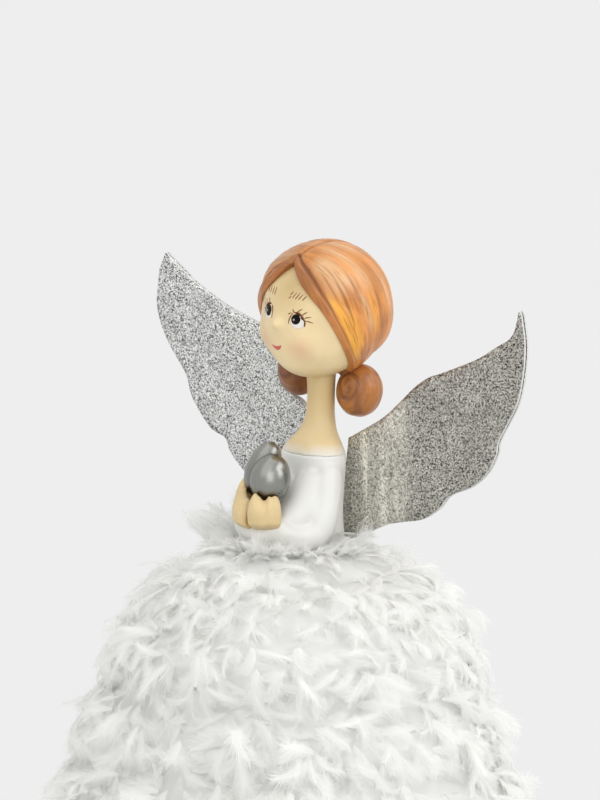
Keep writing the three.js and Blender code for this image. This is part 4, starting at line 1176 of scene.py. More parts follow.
def lobe_points(side, rows=56, columns=72):
    """Rings of one egg-shaped lobe."""
    polar = np.linspace(0, math.pi, rows + 2)[1:-1][:, None]
    turn = np.linspace(0, 2 * math.pi, columns, endpoint=False)[None, :]
    radius = HEART["radii"][side] * (1 - HEART["taper"] * np.cos(polar)) * np.sin(polar)
    half = HEART["half_heights"][side]
    height = half * np.cos(polar) + HEART["half_heights"][1] - half
    local = np.stack([radius * np.cos(turn), radius * np.sin(turn), height + 0 * turn], -1)
    lean = Matrix.Rotation(-math.radians(HEART["lean"]), 3, "X")
    splay = Matrix.Rotation(math.radians(HEART["sway"] + side * HEART["splay"]), 3, "Y")
    turned = local @ np.array(lean @ splay).T
    shift = np.array([side * HEART["apart"], -side * HEART["step"], -side * HEART["drop"]]) / 2
    return turned + shift + HEART_CENTRE


class ANGEL_OT_heart(bpy.types.Operator):
    """Heart: two puffed lobes in silver metallic paint, with a crisp crease between them"""

    bl_idname = "angel.heart"
    bl_label = "Heart"

    def execute(self, context):
        parts = [capped(list(lobe_points(side))) for side in (1, -1)]
        piece = mesh_piece("silver_heart", *joined(parts))
        material = silver_material(context.scene.angel_paint)
        hand_over(piece, material, replaces=["heart"])
        return {"FINISHED"}


def silver_material(paint):
    """Metallic paint, with painted shade that darkens the crease between the lobes."""
    shader = Shader("silver_paint", Metallic=1.0)
    tone = shader.mottle(paint.silver, 0.1, 90, 4)
    # Painted shade in the crease between the lobes
    crease = shader.span(shader.openness(0.012, 6), 0.5, 1.0, 0.9, 0.0)
    shader.base(shader.mix(crease, tone, (0.08, 0.08, 0.07)))
    shader.rough(shader.noise(1400, 2), 0.26, 0.34)
    shader.bump(shader.noise(2400, 2), 0.12, 0.00003)
    return shader.material


# Each hand: the turns about the heart of its edges, and how high its edge stands along it
HANDS = [
    {
        "name": "left", "turns": (5, 69), "lift": 0.8, "close": 1.04,
        "edge": [1.0, 1.1, 1.2, 1.14, 1.07, 0.98, 1.0, 1.12, 1.08, 1.13, 1.09, 1.02],
    },
    {
        "name": "right", "turns": (-4, -114), "lift": 0.6, "close": 0.9,
        "edge": [0.8, 0.96, 1.0, 1.12, 1.26, 1.16, 1.42, 1.52, 1.42, 1.3, 1.2, 0.9],
    },
]
HAND = {"reach": 14.6, "height": 13.0, "rise": 11.5, "thick": 2.2, "core": 3.0, "palm": 4.0}
MITT = smooth_through([0, 0.15, 0.4, 0.7, 0.9, 1], [0.6, 0.9, 1.0, 0.97, 0.87, 0.76])


class ANGEL_OT_hands(bpy.types.Operator):
    """Hands: cupped mitts, whose finger tips stand against the heart"""

    bl_idname = "angel.hands"
    bl_label = "Hands"

    def execute(self, context):
        material = hand_material(context.scene.angel_paint)
        for hand in HANDS:
            points, faces = capped(hand_rings(hand))
            piece = mesh_piece(f"hand_cast_{hand['name']}", points, faces)
            remesh(piece, "hand")
            hand_over(piece, material, replaces=[f"hand_{hand['name']}"])
        return {"FINISHED"}


def hand_rings(hand):
    """Sections of a cupped hand, one after another round the heart."""
    low, high = hand["turns"]
    foot = WAIST + HAND["rise"] + hand["lift"]
    edge = smooth_through(np.linspace(0, 1, len(hand["edge"])), hand["edge"])
    ends = smooth_through([0, 0.06, 0.16, 0.5, 0.84, 0.94, 1], [0.86, 0.96, 1.0, 1.0, 1.0, 0.96, 0.86])
    rings = []
    for share in np.linspace(0, 1, 61):
        turn = math.radians(low + (high - low) * share)
        # A furrow down from each notch of the edge
        furrow = 0.05 * (edge(share) - float(np.mean(hand["edge"])))
        tall = HAND["height"] * edge(share)
        ring = []
        for up in np.linspace(0, 1, 14):
            close = 1 + (hand["close"] - 1) * up
            reach = HAND["reach"] * MITT(up) * ends(share) * close * (1 + furrow * up)
            ring.append((reach, foot + up * tall))
        # Back down the inside to the palm
        for up in (0.98, 0.7, 0.45):
            close = 1 + (hand["close"] - 1) * up
            reach = (HAND["reach"] * MITT(up) * close - HAND["thick"]) * ends(share)
            ring.append((reach, foot + up * tall))
        ring += [(HAND["core"], foot + HAND["palm"]), (HAND["core"], foot)]
        rings.append(
            [
                (HEART_CENTRE[0] + r * math.sin(turn), HEART_CENTRE[1] - r * math.cos(turn), z)
                for r, z in ring
            ]
        )
    return rings


def hand_material(paint):
    """Skin paint darkened all over as painted shade, with more painted shade in brown where the fingers
    meet the heart and the cuffs.
    """
    shader = Shader("hand_paint", Specular_IOR_Level=0.4)
    # Painted shade: the hands take a darker copy of the skin paint, mixed towards the painted skin shade
    skin = tuple(a * 0.6 + b * 0.4 for a, b in zip(paint.skin, paint.painted_skin_shade))
    tone = shader.mottle(skin, 0.06, 200, 2)
    # Painted shade in brown in the crevices
    darkening = shader.span(shader.openness(0.0025, 4), 0.3, 0.85, 0.8, 0.0)
    shader.base(shader.mix(darkening, tone, (0.55, 0.26, 0.07)))
    shader.rough(shader.noise(200), 0.34, 0.42)
    shader.bump(shader.noise(900, 3), 0.12, 0.00003)
    return shader.material


# Wings

WING = {
    "span": 97.0,
    "height": 102.0,
    "foot": 4.0,
    "inset": 3.8,
    "off_back": 0.6,
    "sheet": 0.9,
    "gap": 0.3,
    "sweep": 5.6,
    "bow": 2.0,
    "parting": 0.4,
    "ripple": 0.25,
}
# Where the painted highlight band of the near wing starts and ends, in millimetres out, and its gain
NEAR_PAINTED_SHEEN = (0, 44, 2.4)
# Stations from a wing's root to its tip: lower edge out and up, upper edge out and up, as shares
# of the span and of the height
LEFT_WING = [
    [0, 0.02, 0.05, 0.395],
    [0.063, -0.007, 0.127, 0.437],
    [0.152, 0.03, 0.233, 0.498],
    [0.243, 0.068, 0.323, 0.573],
    [0.345, 0.092, 0.375, 0.62],
    [0.43, 0.111, 0.411, 0.648],
    [0.519, 0.164, 0.467, 0.682],
    [0.574, 0.22, 0.519, 0.7],
    [0.69, 0.27, 0.609, 0.735],
    [0.778, 0.339, 0.699, 0.771],
    [0.828, 0.419, 0.768, 0.804],
    [0.842, 0.472, 0.8, 0.824],
    [0.941, 0.623, 0.862, 0.859],
    [0.976, 0.738, 0.897, 0.878],
    [0.988, 0.863, 0.932, 0.919],
    [0.968, 0.985, 0.955, 1],
]
RIGHT_WING = [
    [0, 0.02, 0.038, 0.4],
    [0.063, -0.007, 0.085, 0.46],
    [0.157, 0.025, 0.146, 0.508],
    [0.249, 0.064, 0.213, 0.532],
    [0.342, 0.098, 0.262, 0.59],
    [0.425, 0.132, 0.305, 0.676],
    [0.488, 0.173, 0.353, 0.735],
    [0.545, 0.213, 0.399, 0.774],
    [0.59, 0.255, 0.456, 0.791],
    [0.617, 0.299, 0.545, 0.811],
    [0.709, 0.332, 0.627, 0.835],
    [0.807, 0.437, 0.713, 0.869],
    [0.843, 0.529, 0.796, 0.906],
    [0.949, 0.657, 0.87, 0.95],
    [1.005, 0.784, 0.925, 0.982],
    [0.993, 0.931, 0.958, 1.003],
]


class ANGEL_OT_wings(bpy.types.Operator):
    """Wings: two glitter sheets laid back to back, with a pale raw edge"""

    bl_idname = "angel.wings"
    bl_label = "Wings"

    def execute(self, context):
        paint = context.scene.angel_paint
        glitter = {
            # The near wing takes the darker copy of the glitter, as painted shade
            1: glitter_material("glitter_near", paint.shaded_glitter, NEAR_PAINTED_SHEEN),
            -1: glitter_material("glitter_far", paint.glitter, None),
        }
        edge = plain_paint("wing_raw_edge", (0.6, 0.6, 0.58), 0.6, 0.1)
        seat = wing_seat()
        for name, side, table in (("left", 1, LEFT_WING), ("right", -1, RIGHT_WING)):
            for layer, layer_name in enumerate(("front", "back")):
                piece = wing_sheet(f"wing_{name}_{layer_name}_sheet", side, table, seat, layer)
                hand_over(piece, glitter[side], replaces=[f"wing_{name}_{layer_name}"])
                piece.data.materials.append(edge)
                for face in piece.data.polygons:
                    if abs(face.normal.y) < 0.5:
                        face.material_index = 1
        return {"FINISHED"}


def wing_seat():
    """How far back the wings lie against the bodice."""
    wide, deep = TORSO_SHARES(0.2)
    at_inset = math.sqrt(1 - (WING["inset"] / (wide * TORSO["half_width"])) ** 2)
    return TORSO["back"] + deep * TORSO["half_depth"] * at_inset


def wing_sheet(name, side, table, seat, layer):
    """One sheet of a wing, a closed thin shell with a fine grid."""
    stations = smooth_through(np.arange(len(table)), table)
    shares = stations(np.linspace(0, len(table) - 1, 76))
    root = seat + WING["off_back"] + layer * (WING["sheet"] + WING["gap"])
    chords = np.linspace(0, 1, 17)
    sections = []
    for low_x, low_z, high_x, high_z in shares:
        out = low_x + (high_x - low_x) * chords
        up = low_z + (high_z - low_z) * chords
        bent = WING["sweep"] * out + WING["bow"] * 4 * out * (1 - out) + layer * WING["parting"] * out**2
        x = side * (WING["inset"] + out * WING["span"])
        z = WAIST + WING["foot"] + up * WING["height"]
        ripple = WING["ripple"] * np.sin(out * 9 + up * 4)
        near = np.stack([x, root + bent + ripple, z], -1)
        far = near + [0, WING["sheet"], 0]
        sections.append(np.concatenate([near, far[::-1]]))
    points, faces = capped(sections)
    piece = mesh_piece(name, points, faces, smooth=False)
    for face in piece.data.polygons:
        face.use_smooth = abs(face.normal.y) > 0.5
    return piece


def glitter_material(name, tone, painted_sheen_band):
    """Metal flakes: each cell of a fine cell pattern tips its own way and has its own grey; a sheen band,
    where given, is a painted highlight.
    """
    shader = Shader(name, Metallic=0.6)
    spots = shader.coordinates()
    cells = shader.add(
        "ShaderNodeTexVoronoi", {"Vector": spots, "Scale": 2300.0, "Randomness": 1.0}, feature="F1"
    )
    value = shader.add("ShaderNodeSeparateColor", {"Color": cells.outputs["Color"]}).outputs["Red"]
    dark, bright = tuple(c * 0.12 for c in tone), tuple(min(1, c * 1.5) for c in tone)
    low, high = tones(tone, 0.2)
    flakes = shader.ramp(value, [(0.14, dark), (0.34, low), (0.7, high), (0.92, bright)])
    drift = shader.ramp(shader.noise(55, 3), [(0.3, 0.88), (0.7, 1.1)])
    flakes = shader.mix(1.0, flakes, drift, "MULTIPLY")
    if painted_sheen_band:
        # Painted highlight: the root third of the near wing is painted paler along soft creases, as if it
        # caught the lamp
        start, end, gain = painted_sheen_band
        out = shader.axis("X")
        rise = shader.between(out, (start, start * 0.6 + end * 0.4))
        fall = shader.between(out, (start * 0.4 + end * 0.6, end), 1, 0)
        creases = shader.noise(1.0, 2, 0.5, shader.place((190, 60, 22)))
        band = shader.calc("MULTIPLY", rise, fall)
        band = shader.calc("MULTIPLY", band, shader.span(creases, 0.42, 0.6, 0.4, 1))
        sparks = shader.add("ShaderNodeTexVoronoi", {"Vector": spots, "Scale": 1250.0}, feature="F1")
        lit = shader.add("ShaderNodeSeparateColor", {"Color": sparks.outputs["Color"]}).outputs["Green"]
        pale = tuple(min(1, c * gain) for c in tone)
        warm = tuple(c * 0.5 for c in pale)
        # The band's colour: a painted highlight, pale with sparks
        flakes = shader.mix(band, flakes, shader.mix(shader.span(lit, 0.22, 0.42, 0, 1), warm, pale))
    shader.base(flakes)
    centred = shader.vector("SUBTRACT", {0: cells.outputs["Color"], 1: (0.5, 0.5, 0.5)})
    scaled = shader.vector("SCALE", {0: centred, "Scale": 0.7})
    normal = shader.add("ShaderNodeNewGeometry").outputs["Normal"]
    tipped = shader.vector("ADD", {0: normal, 1: scaled})
    shader.set(shader.main, "Normal", shader.vector("NORMALIZE", {0: tipped}))
    shader.set(shader.main, "Roughness", shader.span(value, 0, 1, 0.5, 0.3))
    return shader.material


# Feather trim

PLATE_TOP = 5.0
BELL = {"height": 191.0, "hem": 90.0, "top": 30.0, "fullness": 2.2, "shoulder": 1.3}
FLUFF = {"depth": 20.5, "lift": 2.6}
FLUFF_DEPTH = smooth_through(
    [0, 0.03, 0.14, 0.29, 0.48, 0.59, 0.69, 0.79, 0.89, 0.94, 1],
    [0.93, 1, 0.99, 0.85, 0.73, 0.7, 0.72, 0.87, 1.17, 1.29, 0.9],
)
TIERS = 6
TIER_TOP = 195.0
TIER_PITCH = 29.3
# The trim's surface over the bell's roof, from the waist out to where the tiers take over
DOME = [
    (12.0, 202.0), (22.0, 202.0), (30.0, 199.8), (37.0, 196.0), (45.0, 192.4), (55.0, 188.0),
    (64.0, 182.4), (70.0, 176.5),
]
DOME_FOOT = 172.0
# Where the trim is thinner than the packed tiers: turn and half width in degrees, height, half
# height and depth in millimetres
HOLLOWS = [
    (-47, 34, 156, 17, 4.5),
    (-47, 42, 192, 9, 4.0),
    (20, 20, 128, 14, 1.5),
    (75, 20, 150, 12, 1.5),
]


def bell_radius(z):
    """The radius of the bell at a height."""
    share = np.clip((z - PLATE_TOP) / BELL["height"], 0, 1)
    full = (1 - share ** BELL["fullness"]) ** (1 / BELL["shoulder"])
    return BELL["top"] + (BELL["hem"] - BELL["top"]) * full


def fluff_radius(z):
    """How far out the trim stands at a height, all round alike."""
    share = (np.asarray(z, float) - FLUFF["lift"]) / (WAIST - FLUFF["lift"])
    return bell_radius(z) + FLUFF["depth"] * FLUFF_DEPTH(share)


class TrimSurface:
    """The trim's outer surface, by turn about the axis and by distance down from the waist."""

    columns = 180
    rows = 80
    top = 194.0
    low = 5.0
    most_relief = 6.0
    # Heights between which the packed relief fades out towards the waist
    faded = 190.0
    full = 175.0

    def __init__(self):
        heights = np.linspace(self.top, self.low, self.rows)
        self.relief = self.read_relief(heights)
        side = [(float(fluff_radius(z)), z) for z in np.linspace(DOME_FOOT, 4.0, 40)]
        line = np.array(DOME + side)
        steps = np.linalg.norm(np.diff(line, axis=0), axis=1)
        self.reach = np.concatenate([[0], np.cumsum(steps)])
        self.line = line
        self.length = self.reach[-1]

    def read_relief(self, heights):
        """How far the packed tiers stand in or out of the even shape, smoothed."""
        points, faces = [], []
        for i in range(TIERS):
            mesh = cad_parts[f"feather_tier_{i + 1}"].data
            start = len(points)
            points += [v.co.copy() for v in mesh.vertices]
            faces += [[start + v for v in face.vertices] for face in mesh.polygons]
        tree = BVHTree.FromPolygons(points, faces)
        relief = np.zeros((len(heights), self.columns))
        start_radius = 150.0
        for j in range(self.columns):
            turn = 2 * math.pi * j / self.columns
            ahead = Vector((math.sin(turn), -math.cos(turn), 0))
            for i, z in enumerate(heights):
                start = ahead * (start_radius * MM) + Vector((0, 0, z * MM))
                place, _, _, distance = tree.ray_cast(start, -ahead)
                if place is not None:
                    relief[i, j] = start_radius - distance / MM - float(fluff_radius(z))
        relief = np.clip(relief, -self.most_relief, self.most_relief)
        for _ in range(3):
            relief = (relief + np.roll(relief, 1, 1) + np.roll(relief, -1, 1)) / 3
            padded = np.concatenate([relief[:1], relief, relief[-1:]])
            relief = (padded[:-2] + padded[1:-1] + padded[2:]) / 3
        return relief

    def at(self, turns, down):
        """Points of the surface."""
        r = np.interp(down, self.reach, self.line[:, 0])
        z = np.interp(down, self.reach, self.line[:, 1])
        row = np.clip((self.top - z) / (self.top - self.low) * (self.rows - 1), 0, self.rows - 1.001)
        column = (turns / (2 * math.pi) * self.columns) % self.columns
        i, j = row.astype(int), column.astype(int) % self.columns
        u, v = row - i, column - np.floor(column)
        following = (j + 1) % self.columns
        relief = (
            self.relief[i, j] * (1 - u) * (1 - v)
            + self.relief[i, following] * (1 - u) * v
            + self.relief[i + 1, j] * u * (1 - v)
            + self.relief[i + 1, following] * u * v
        )
        r = r + relief * np.clip((self.faded - z) / (self.faded - self.full), 0, 1)
        for middle, half_width, height, half_height, depth in HOLLOWS:
            off = (np.degrees(turns) - middle + 180) % 360 - 180
            fade = np.exp(-((off / half_width) ** 2) - ((z - height) / half_height) ** 2)
            r = r - depth * fade * np.clip((200 - z) / 10, 0.35, 1)
        return np.stack([r * np.sin(turns), -r * np.cos(turns), z], -1)

    def frame_at(self, turns, down):
        """Points with the outward, downward and sideways directions there."""
        spot = self.at(turns, down)
        step = 1.5
        below = unit(self.at(turns, down + step) - self.at(turns, np.maximum(down - step, 0)))
        about = np.stack([np.cos(turns), np.sin(turns), np.zeros_like(turns)], -1)
        outward = unit(np.cross(about, below))
        upright = np.stack([np.sin(turns), -np.cos(turns), np.ones_like(turns)], -1)
        outward = np.where((outward * upright).sum(1, keepdims=True) < 0, -outward, outward)
        return spot, outward, below, about

    def down_to(self, z):
        """How far down the surface a height lies."""
        return float(np.interp(-z, -self.line[:, 1], self.reach))


def rotated(vectors, axes, angles):
    """Vectors turned about axes of length 1, each by its own angle."""
    c, s = np.cos(angles)[:, None], np.sin(angles)[:, None]
    dot = (vectors * axes).sum(1, keepdims=True)
    return vectors * c + np.cross(axes, vectors) * s + axes * dot * (1 - c)


PLUME_STEPS = 6
BARBS = 4
VANE_SHARES = smooth_through([0, 0.12, 0.4, 0.7, 1], [0.2, 0.62, 1.0, 0.8, 0.08])
# The soft part of the vane and the rise of its spine, as shares of half its width
VANE_SHARE = 0.42
SPINE_SHARE = 0.24


def plumes(rng, roots, outward, along, shape):
    """Curled plumes: a soft vane on a raised spine, with loose barbs down both edges.

    shape holds each plume's length, width, curl, bend and twist. Returns points, faces, and for
    each point its tone, its place along the plume and its place across it.
    """
    count = len(roots)
    length, width = shape["length"], shape["width"]
    step = (length / PLUME_STEPS)[:, None]
    tone = rng.uniform(0, 1, count)
    place, direction = roots.copy(), unit(along)
    across = unit(np.cross(direction, outward))
    rows = []
    for i in range(PLUME_STEPS + 1):
        normal = np.cross(across, direction)
        rows.append((place, direction, across, normal))
        place = place + direction * step
        direction = rotated(direction, across, shape["curl"] / PLUME_STEPS)
        side = shape["bend"] / PLUME_STEPS
        direction, across = rotated(direction, normal, side), rotated(across, normal, side)
        across = rotated(across, direction, shape["twist"] / PLUME_STEPS)
    halves = [width * VANE_SHARES(i / PLUME_STEPS) / 2 for i in range(PLUME_STEPS + 1)]
    points, notes = [], []

    def keep(place, at, over):
        points.append(place)
        notes.append(np.stack([tone, np.full(count, at), np.full(count, over)], -1))
        return len(points) - 1

    edges = {-1: [], 0: [], 1: []}
    for i, (place, _, across, normal) in enumerate(rows):
        half = halves[i][:, None]
        for side in (-1, 0, 1):
            rise = SPINE_SHARE if side == 0 else 0.0
            spot = place + across * half * VANE_SHARE * side + normal * half * rise
            edges[side].append(keep(spot, i / PLUME_STEPS, side))
    faces = []
    for i in range(PLUME_STEPS):
        for a, b in ((-1, 0), (0, 1)):
            corners = edges[a][i], edges[b][i], edges[b][i + 1], edges[a][i + 1]
            faces += [(corners[0], corners[1], corners[2]), (corners[0], corners[2], corners[3])]
        for side in (-1, 1):
            near, far = points[edges[side][i]], points[edges[side][i + 1]]
            _, direction, across, normal = rows[i]
            for barb in range(BARBS):
                start, end = barb / BARBS, (barb + 0.72) / BARBS
                reach = (halves[i] * rng.uniform(0.5, 1.4, count) + 0.45)[:, None]
                droop = rng.uniform(-0.5, 0.15, count)[:, None]
                tip = (
                    near + (far - near) * end
                    + (across * side + direction * 1.25 + normal * droop) * reach
                )
                where = (i + start) / PLUME_STEPS
                first = keep(near + (far - near) * start, where, side)
                second = keep(near + (far - near) * end, where, side)
                faces.append((first, second, keep(tip, where, 1.6 * side)))
    per = len(points)
    points = np.stack(points, 1).reshape(-1, 3)
    notes = np.stack(notes, 1).reshape(-1, 3)
    faces = (np.array(faces)[None] + (np.arange(count) * per)[:, None, None]).reshape(-1, 3)
    return points, faces, notes


def many_faces_piece(name, points, faces):
    """A mesh object made quickly from many triangles, in millimetres."""
    mesh = bpy.data.meshes.new(name)
    mesh.vertices.add(len(points))
    mesh.vertices.foreach_set("co", (points * MM).astype(np.float32).ravel())
    mesh.loops.add(faces.size)
    mesh.loops.foreach_set("vertex_index", faces.astype(np.int32).ravel())
    mesh.polygons.add(len(faces))
    mesh.polygons.foreach_set("loop_start", np.arange(0, faces.size, 3, dtype=np.int32))
    mesh.update(calc_edges=True)
    mesh.shade_smooth()
    piece = bpy.data.objects.new(name, mesh)
    bpy.context.scene.collection.objects.link(piece)
    return piece


BED = {"row": 2.2, "thick": 1.6, "overlap": 4, "under_tier": 3.8, "under_ruff": 2.4}


def bed(surface, start, end, depth):
    """The soft mass that the plumes stand in, a closed lumpy ring under the surface."""
    columns, rows = 200, max(6, int((end - start) / BED["row"]))
    turns = np.linspace(0, 2 * math.pi, columns, endpoint=False)
    front, behind = [], []
    for down in np.linspace(start, end, rows):
        spot, outward, _, _ = surface.frame_at(turns, np.full(columns, down))
        lumps = 0.8 * lattice_noise(spot / 5, 21) + 0.5 * lattice_noise(spot / 2.4, 22)
        ring = spot + outward * (lumps - depth)[:, None]
        front.append(kept_off_bell(ring))
        behind.append(kept_off_bell(spot - outward * (depth + BED["thick"])))
    rings = front + behind[::-1]
    points = np.concatenate(rings)
    quads = np.array(grid_faces(len(rings), columns, loop_rows=True))
    faces = np.concatenate([quads[:, [0, 1, 2]], quads[:, [0, 2, 3]]])
    notes = np.tile([0.5, 0.5, 0.0], (len(points), 1))
    return points, faces, notes


ROOF_HEIGHTS = np.linspace(WAIST, 150.0, 60)
ROOF_REACH = bell_radius(ROOF_HEIGHTS)
OFF_BELL = 0.5
OFF_FLOOR = 1.0


def kept_off_bell(points):
    """Points held above the floor and outside the bell."""
    points = points.copy()
    points[:, 2] = np.maximum(points[:, 2], OFF_FLOOR + 0.04 * np.abs(points[:, 2]))
    radius = np.hypot(points[:, 0], points[:, 1])
    roof = np.interp(radius, ROOF_REACH, ROOF_HEIGHTS) + OFF_BELL
    over = radius < ROOF_REACH[-1] - 6
    points[:, 2] = np.where(over, np.maximum(points[:, 2], roof), points[:, 2])
    least = bell_radius(points[:, 2]) + OFF_BELL
    push = np.where(~over & (radius < least), least / np.maximum(radius, 1e-6), 1)
    points[:, :2] *= push[:, None]
    return points


def trimmed_piece(name, parts, material, node):
    """One piece of trim from plumes and their beds, which stands for one node."""
    points, faces, notes, start = [], [], [], 0
    for part_points, part_faces, part_notes in parts:
        points.append(part_points)
        faces.append(part_faces + start)
        notes.append(part_notes)
        start += len(part_points)
    piece = many_faces_piece(name, np.concatenate(points), np.concatenate(faces))
    write_vectors(piece, "plume", np.concatenate(notes))
    hand_over(piece, material, replaces=[node])


def tier_plumes(rng, surface, start, end, trim):
    """Plumes over one band of the surface, in drifts that share a direction."""
    middle = surface.at(np.zeros(1), np.full(1, (start + end) / 2))[0]
    girth = 2 * math.pi * math.hypot(middle[0], middle[1])
    count = int(girth * (end - start) / trim.plume_room)
    turns = rng.uniform(0, 2 * math.pi, count)
    down = rng.uniform(start, end, count)
    spot, outward, below, about = surface.frame_at(turns, down)
    drift = lattice_noise(spot / 24, 3)
    lift = lattice_noise(spot / 13, 8)
    loose = rng.uniform(0, 1, count) < trim.loose_share
    swirl = drift * 1.1 + rng.normal(0, 0.75, count)
    rise = np.clip(0.27 + 0.18 * lift + rng.normal(0, 0.15, count), 0.04, 0.9)
    rise = np.where(loose, rise + 0.4, rise)
    length = trim.plume_length / MM * rng.uniform(0.62, 1.3, count)
    along = (
        below * (np.cos(rise) * np.cos(swirl))[:, None]
        + about * (np.cos(rise) * np.sin(swirl))[:, None]
        + outward * np.sin(rise)[:, None]
    )
    depth = np.clip(2.4 + length * 0.1 + rng.uniform(-1.2, 2.2, count) - 1.5 * lift, 1.6, 7)
    shape = {
        "length": length,
        "width": trim.plume_width / MM * rng.uniform(0.65, 1.25, count),
        "curl": -(rise + rng.normal(0.55, 0.45, count)) * np.where(loose, 0.5, 1.0),
        "bend": rng.normal(0, 1.05, count),
        "twist": rng.normal(0, 0.8, count),
    }
    roots = spot - outward * depth[:, None]
    points, faces, notes = plumes(rng, roots, outward, along, shape)
    return kept_off_bell(points), faces, notes


class ANGEL_OT_feathers(bpy.types.Operator):
    """Feather trim: six tiers of curled plumes over the bell"""

    bl_idname = "angel.feathers"
    bl_label = "Feather Tiers"

    def execute(self, context):
        trim = context.scene.angel_trim
        material = feather_material(trim)
        surface = TrimSurface()
        edges = [surface.down_to(TIER_TOP - tier * TIER_PITCH) for tier in range(TIERS)]
        edges.append(surface.length)
        for tier, (start, end) in enumerate(zip(edges, edges[1:])):
            soft = tier_plumes(np.random.default_rng(100 + tier), surface, start, end, trim)
            mass = bed(surface, max(0.0, start - BED["overlap"]), end, BED["under_tier"])
            trimmed_piece(f"feathers_{tier + 1}", [soft, mass], material, f"feather_tier_{tier + 1}")
        return {"FINISHED"}


# Plumes that stand up at the waist: behind the hands and the back, and round the foot of the bust
STANDING = [
    {
        "seed": 41,
        "share": 0.75,
        "turns": (-190, -72),
        "reach": (19, 42),
        "rise": 0.95,
        "size": (0.7, 1.3),
    },
    {
        "seed": 43,
        "share": 1.3,
        "turns": (-100, 125),
        "reach": (22.5, 28),
        "rise": 0.8,
        "size": (0.42, 0.72),
    },
]
# How far above or below the waist the upright plumes are rooted, by their reach from the axis
ROOT_REACH = [19, 30, 42]
ROOT_RISE = [3, 1.5, -2]
# In front of the bust's foot, the flat plumes stay below this rise over the waist
BUST_FOOT = {"reach": 27, "behind": 8, "rise": 6.5}


def standing_plumes(trim, group):
    """A group of plumes that stand up from the waist, made grey as painted shade."""
    rng = np.random.default_rng(group["seed"])
    count = int(trim.upright_plumes * group["share"])
    turns = np.radians(rng.uniform(*group["turns"], count))
    reach = rng.uniform(*group["reach"], count)
    flat = np.stack([np.sin(turns), -np.cos(turns), np.zeros(count)], -1)
    height = np.interp(reach, ROOT_REACH, [WAIST + rise for rise in ROOT_RISE])
    roots = flat * reach[:, None] + np.stack([np.zeros(count), np.zeros(count), height], -1)
    about = np.stack([np.cos(turns), np.sin(turns), np.zeros(count)], -1)
    rise = rng.normal(group["rise"], 0.22, count)
    swirl = rng.normal(0, 0.5, count)
    along = (
        flat * (np.cos(rise) * np.cos(swirl))[:, None]
        + about * (np.cos(rise) * np.sin(swirl))[:, None]
        + np.array([0, 0, 1.0]) * np.sin(rise)[:, None]
    )
    shape = {
        "length": trim.plume_length / MM * rng.uniform(*group["size"], count),
        "width": trim.plume_width / MM * rng.uniform(0.6, 1.0, count),
        "curl": rng.normal(-0.5, 0.5, count),
        "bend": rng.normal(0, 0.8, count),
        "twist": rng.normal(0, 0.8, count),
    }
    points, faces, notes = plumes(rng, roots, np.tile([0, 0, 1.0], (count, 1)), along, shape)
    # A tone below -0.9 turns these plumes grey: painted shade
    notes[:, 0] -= 2
    return points, faces, notes


class ANGEL_OT_ruff(bpy.types.Operator):
    """Waist ruff: plumes that run out from the waist, and upright ones behind and round the bust"""

    bl_idname = "angel.ruff"
    bl_label = "Waist Ruff"

    def execute(self, context):
        trim = context.scene.angel_trim
        surface = TrimSurface()
        end = surface.down_to(TIER_TOP)
        points, faces, notes = tier_plumes(np.random.default_rng(40), surface, 0.0, end, trim)
        close = np.hypot(points[:, 0], points[:, 1]) < BUST_FOOT["reach"]
        low = close & (points[:, 1] < BUST_FOOT["behind"])
        lowered = np.minimum(points[:, 2], WAIST + BUST_FOOT["rise"])
        points[:, 2] = np.where(low, lowered, points[:, 2])
        parts = [(points, faces, notes), bed(surface, 0.0, end + BED["overlap"], BED["under_ruff"])]
        parts += [standing_plumes(trim, group) for group in STANDING]
        material = feather_material(trim, "ruff_ribbon")
        trimmed_piece("ruff_feathers", parts, material, "waist_ruff")
        return {"FINISHED"}


def feather_material(trim, name="plume_fibre"):
    """Matt fibre that lets some light through, with fine barbs across each plume."""
    shader = Shader(name, Sheen_Weight=0.2, Sheen_Roughness=0.6, Specular_IOR_Level=0.15)
    plume = shader.attribute("plume")
    split = shader.add("ShaderNodeSeparateXYZ", {"Vector": plume})
    low, high = tones(trim.white, 0.012)
    tone = shader.ramp(shader.span(split.outputs["X"], 0, 1), [(0.0, low), (1.0, high)])
    # Plumes with a tone below -0.9 take the grey, as painted shade
    shaded = shader.span(split.outputs["X"], -1.0, -0.9, 1.0, 0.0)
    tone = shader.mix(shaded, tone, trim.grey)
    shader.base(tone)
    shader.rough(shader.noise(500), 0.7, 0.85)
    barbs = shader.place((40.0, 46.0, 1.2), plume)
    shader.bump(shader.noise(1.0, 2, 0.5, barbs), 0.35, 0.00012)
    through = shader.add("ShaderNodeBsdfTranslucent", {"Color": tone})
    shader.mix_in(through.outputs["BSDF"], 0.56)
    return shader.material


# The shade, the base and the electrics


def repaint(names, material):
    """A better material on CAD nodes that stay as they are."""
    for name in names:
        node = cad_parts[name]
        node.data.materials.clear()
        node.data.materials.append(material)


def metal(name, base, roughness):
    """Bare metal with fine drawn lines."""
    shader = Shader(name, Metallic=1.0)
    low, high = tones(base, 0.1)
    lines = shader.noise(1.0, 3, 0.5, shader.place((400, 400, 4000)))
    shader.base(shader.ramp(lines, [(0.3, low), (0.7, high)]))
    shader.rough(lines, roughness - 0.07, roughness + 0.08)
    return shader.material


